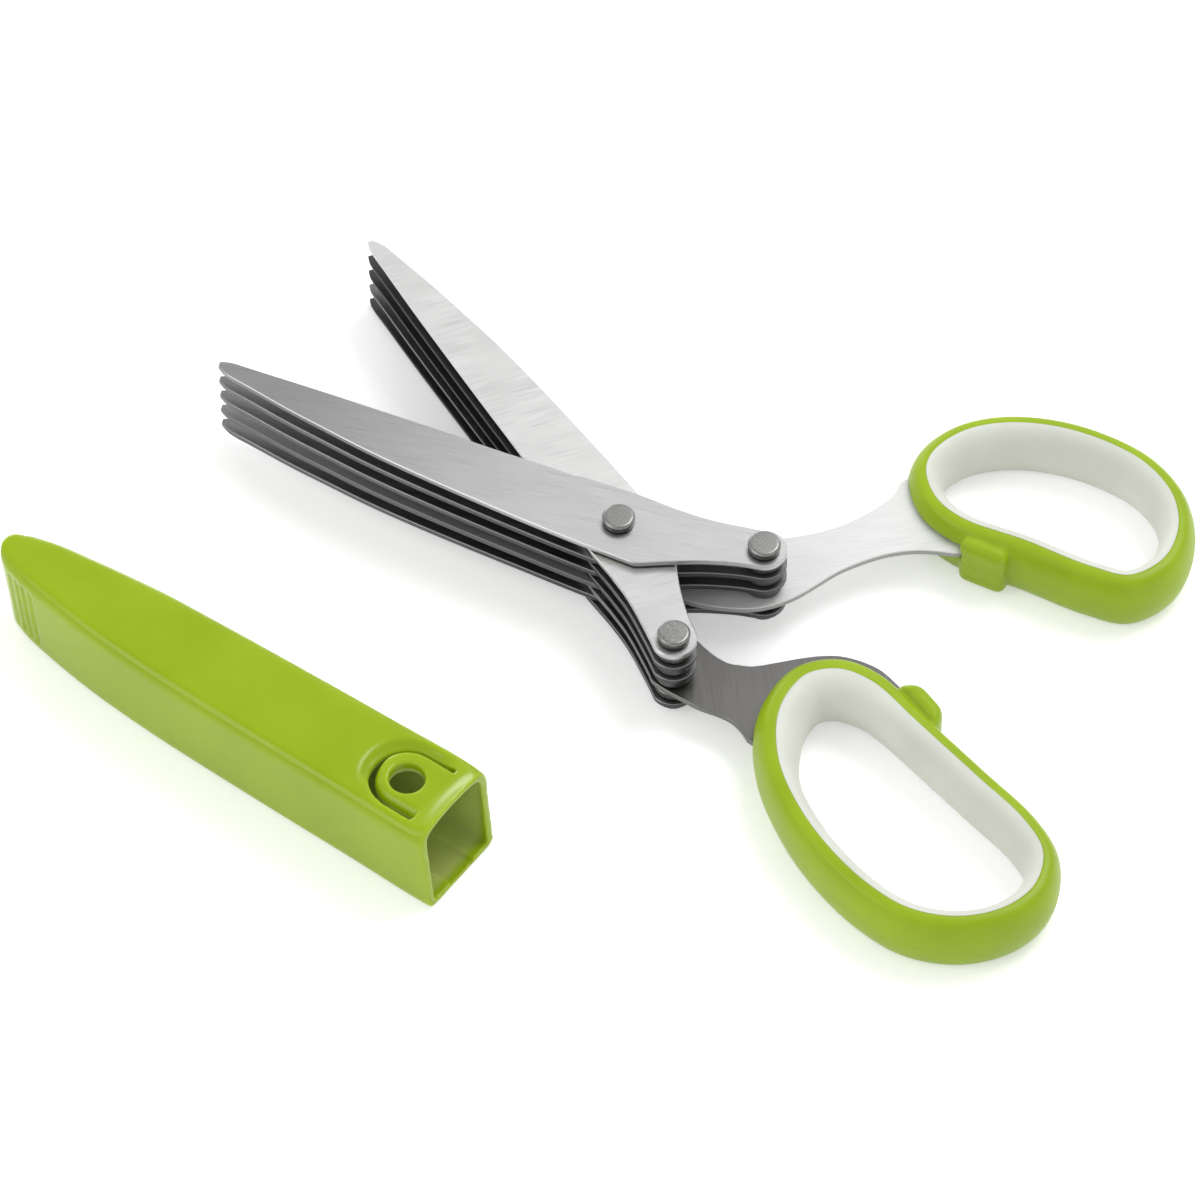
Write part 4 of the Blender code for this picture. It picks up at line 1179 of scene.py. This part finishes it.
def make_room():
    """A pale room: white to the camera, and lighter at the horizon than overhead."""
    world = bpy.data.worlds.new("room")
    bpy.context.scene.world = world
    world.use_nodes = True
    tree = world.node_tree
    room = tree.nodes["Background"].inputs
    room["Color"].default_value = (1.0, 1.0, 1.0, 1.0)
    seen = seen_by(tree, "Is Camera Ray", "Is Transmission Ray")
    place = add(tree, "ShaderNodeTexCoord").outputs["Generated"]
    level = add(tree, SPLIT, {"Vector": place}).outputs["Z"]
    sky = add(tree, RANGE, span(level, 0.0, 1.0, HORIZON_LIGHT, CEILING_LIGHT), SMOOTH)
    strength = add(tree, MIX, {0: seen, 2: sky, 3: 1.0})
    tree.links.new(strength.outputs[0], room["Strength"])


def aimed(name, data, place, aim):
    """Puts a lamp or a camera at its place and aims it."""
    made = in_scene(name, data)
    made.location = place
    made.rotation_euler = (Vector(aim) - Vector(place)).to_track_quat("-Z", "Y").to_euler()
    return made


def make_stage():
    floor = new_object("table", prism(
        rectangle((-FLOOR_SIZE, -FLOOR_SIZE), (FLOOR_SIZE, FLOOR_SIZE)), *FLOOR_LEVELS))
    dressed(floor, pale_floor())
    make_room()
    for name, place, size, power in LAMPS:
        lamp = bpy.data.lights.new(name, "AREA")
        lamp.shape = "DISK"
        lamp.size = size
        lamp.energy = power
        aimed(name, lamp, place, (0.0, 0.0, 0.0))
    camera = bpy.data.cameras.new("camera")
    camera.lens = LENS
    camera.sensor_width = SENSOR
    camera.shift_y = SHIFT
    bpy.context.scene.camera = aimed("camera", camera, CAMERA_PLACE, CAMERA_AIM)
    bpy.context.scene.view_settings.view_transform = "Standard"


# Whole

def make_blades():
    """Each plate's tone is painted reflection and painted shade: the uppermost plate of each half is bright,
    those under it are darker, and each tang changes tone behind the pivot."""
    top = {
        "a": brushed("stainless", "a", ("ABABAC", "D4D4D4", "D1D1D1"), 12, 0.30, 0.04, 0.06, (0.5, 0.8)),
        "b": brushed(
            "stainless", "b", ("ECECEB", "E6E6E5", "D1D1D1"), 75, 0.34, streaks=0.08, sides=(0.5, 0.8)),
    }
    inner = {
        "a": brushed("inner", "a", ("8A8A8B", "828283", "8A8A8B"), 12, 0.40),
        "b": brushed("inner", "b", ("545455", "6A6A6B", "8A8A8B"), 12, 0.40, sides=(0.30, 0.28)),
    }
    # Painted light brightens tang A's tail where the plates above shade it, and painted reflection makes tang
    # B's tail darker
    tang = {
        "a": brushed(
            "tang", "a", ("8A8A8B", "828283", "DEDEDE"), 38, 0.50,
            streaks=0.10, sides=(0.6, 0.5), tail=(4 * MM, 12 * MM), metallic=0.40),
        "b": brushed(
            "tang", "b", ("8A8A8B", "828283", "767573"), -30, 0.36, streaks=0.10, sides=(0.5, 1.0)),
    }
    for half in ("a", "b"):
        for number in range(1, PAIRS + 1):
            finish = top if number == 1 else tang if number == TANG_PLATE else inner
            make_blade(half, number, finish[half])


def make_fastenings(repeat):
    steel = cold_headed_steel()
    whole = plate_floor("a", 1) + PLATE_THICKNESS + CLEARANCE + HEAD_HEIGHT
    make_rivet("pivot", None, "half_b", (0.0, 0.0), 0.0, whole, steel)
    for half in ("a", "b"):
        place = (TAIL_REACH, TAIL_DROP if half == "a" else -TAIL_DROP)
        low = plate_floor(half, PAIRS) - CLEARANCE - HEAD_HEIGHT
        high = plate_floor(half, 1) + PLATE_THICKNESS + CLEARANCE + HEAD_HEIGHT
        make_rivet("tail_" + half, half, "half_" + half, place, low, high, steel)
        make_spacers(half, place, steel, repeat)


def main():
    make_stage()
    sweep, repeat = oval_sweep_tree(), repeat_tree()
    make_blades()
    make_fastenings(repeat)
    green, white = satin_lime(), soft_liner()
    for half in ("a", "b"):
        make_loop(half, green, white, sweep)
    make_cover(glossy_lime(), repeat)


main()
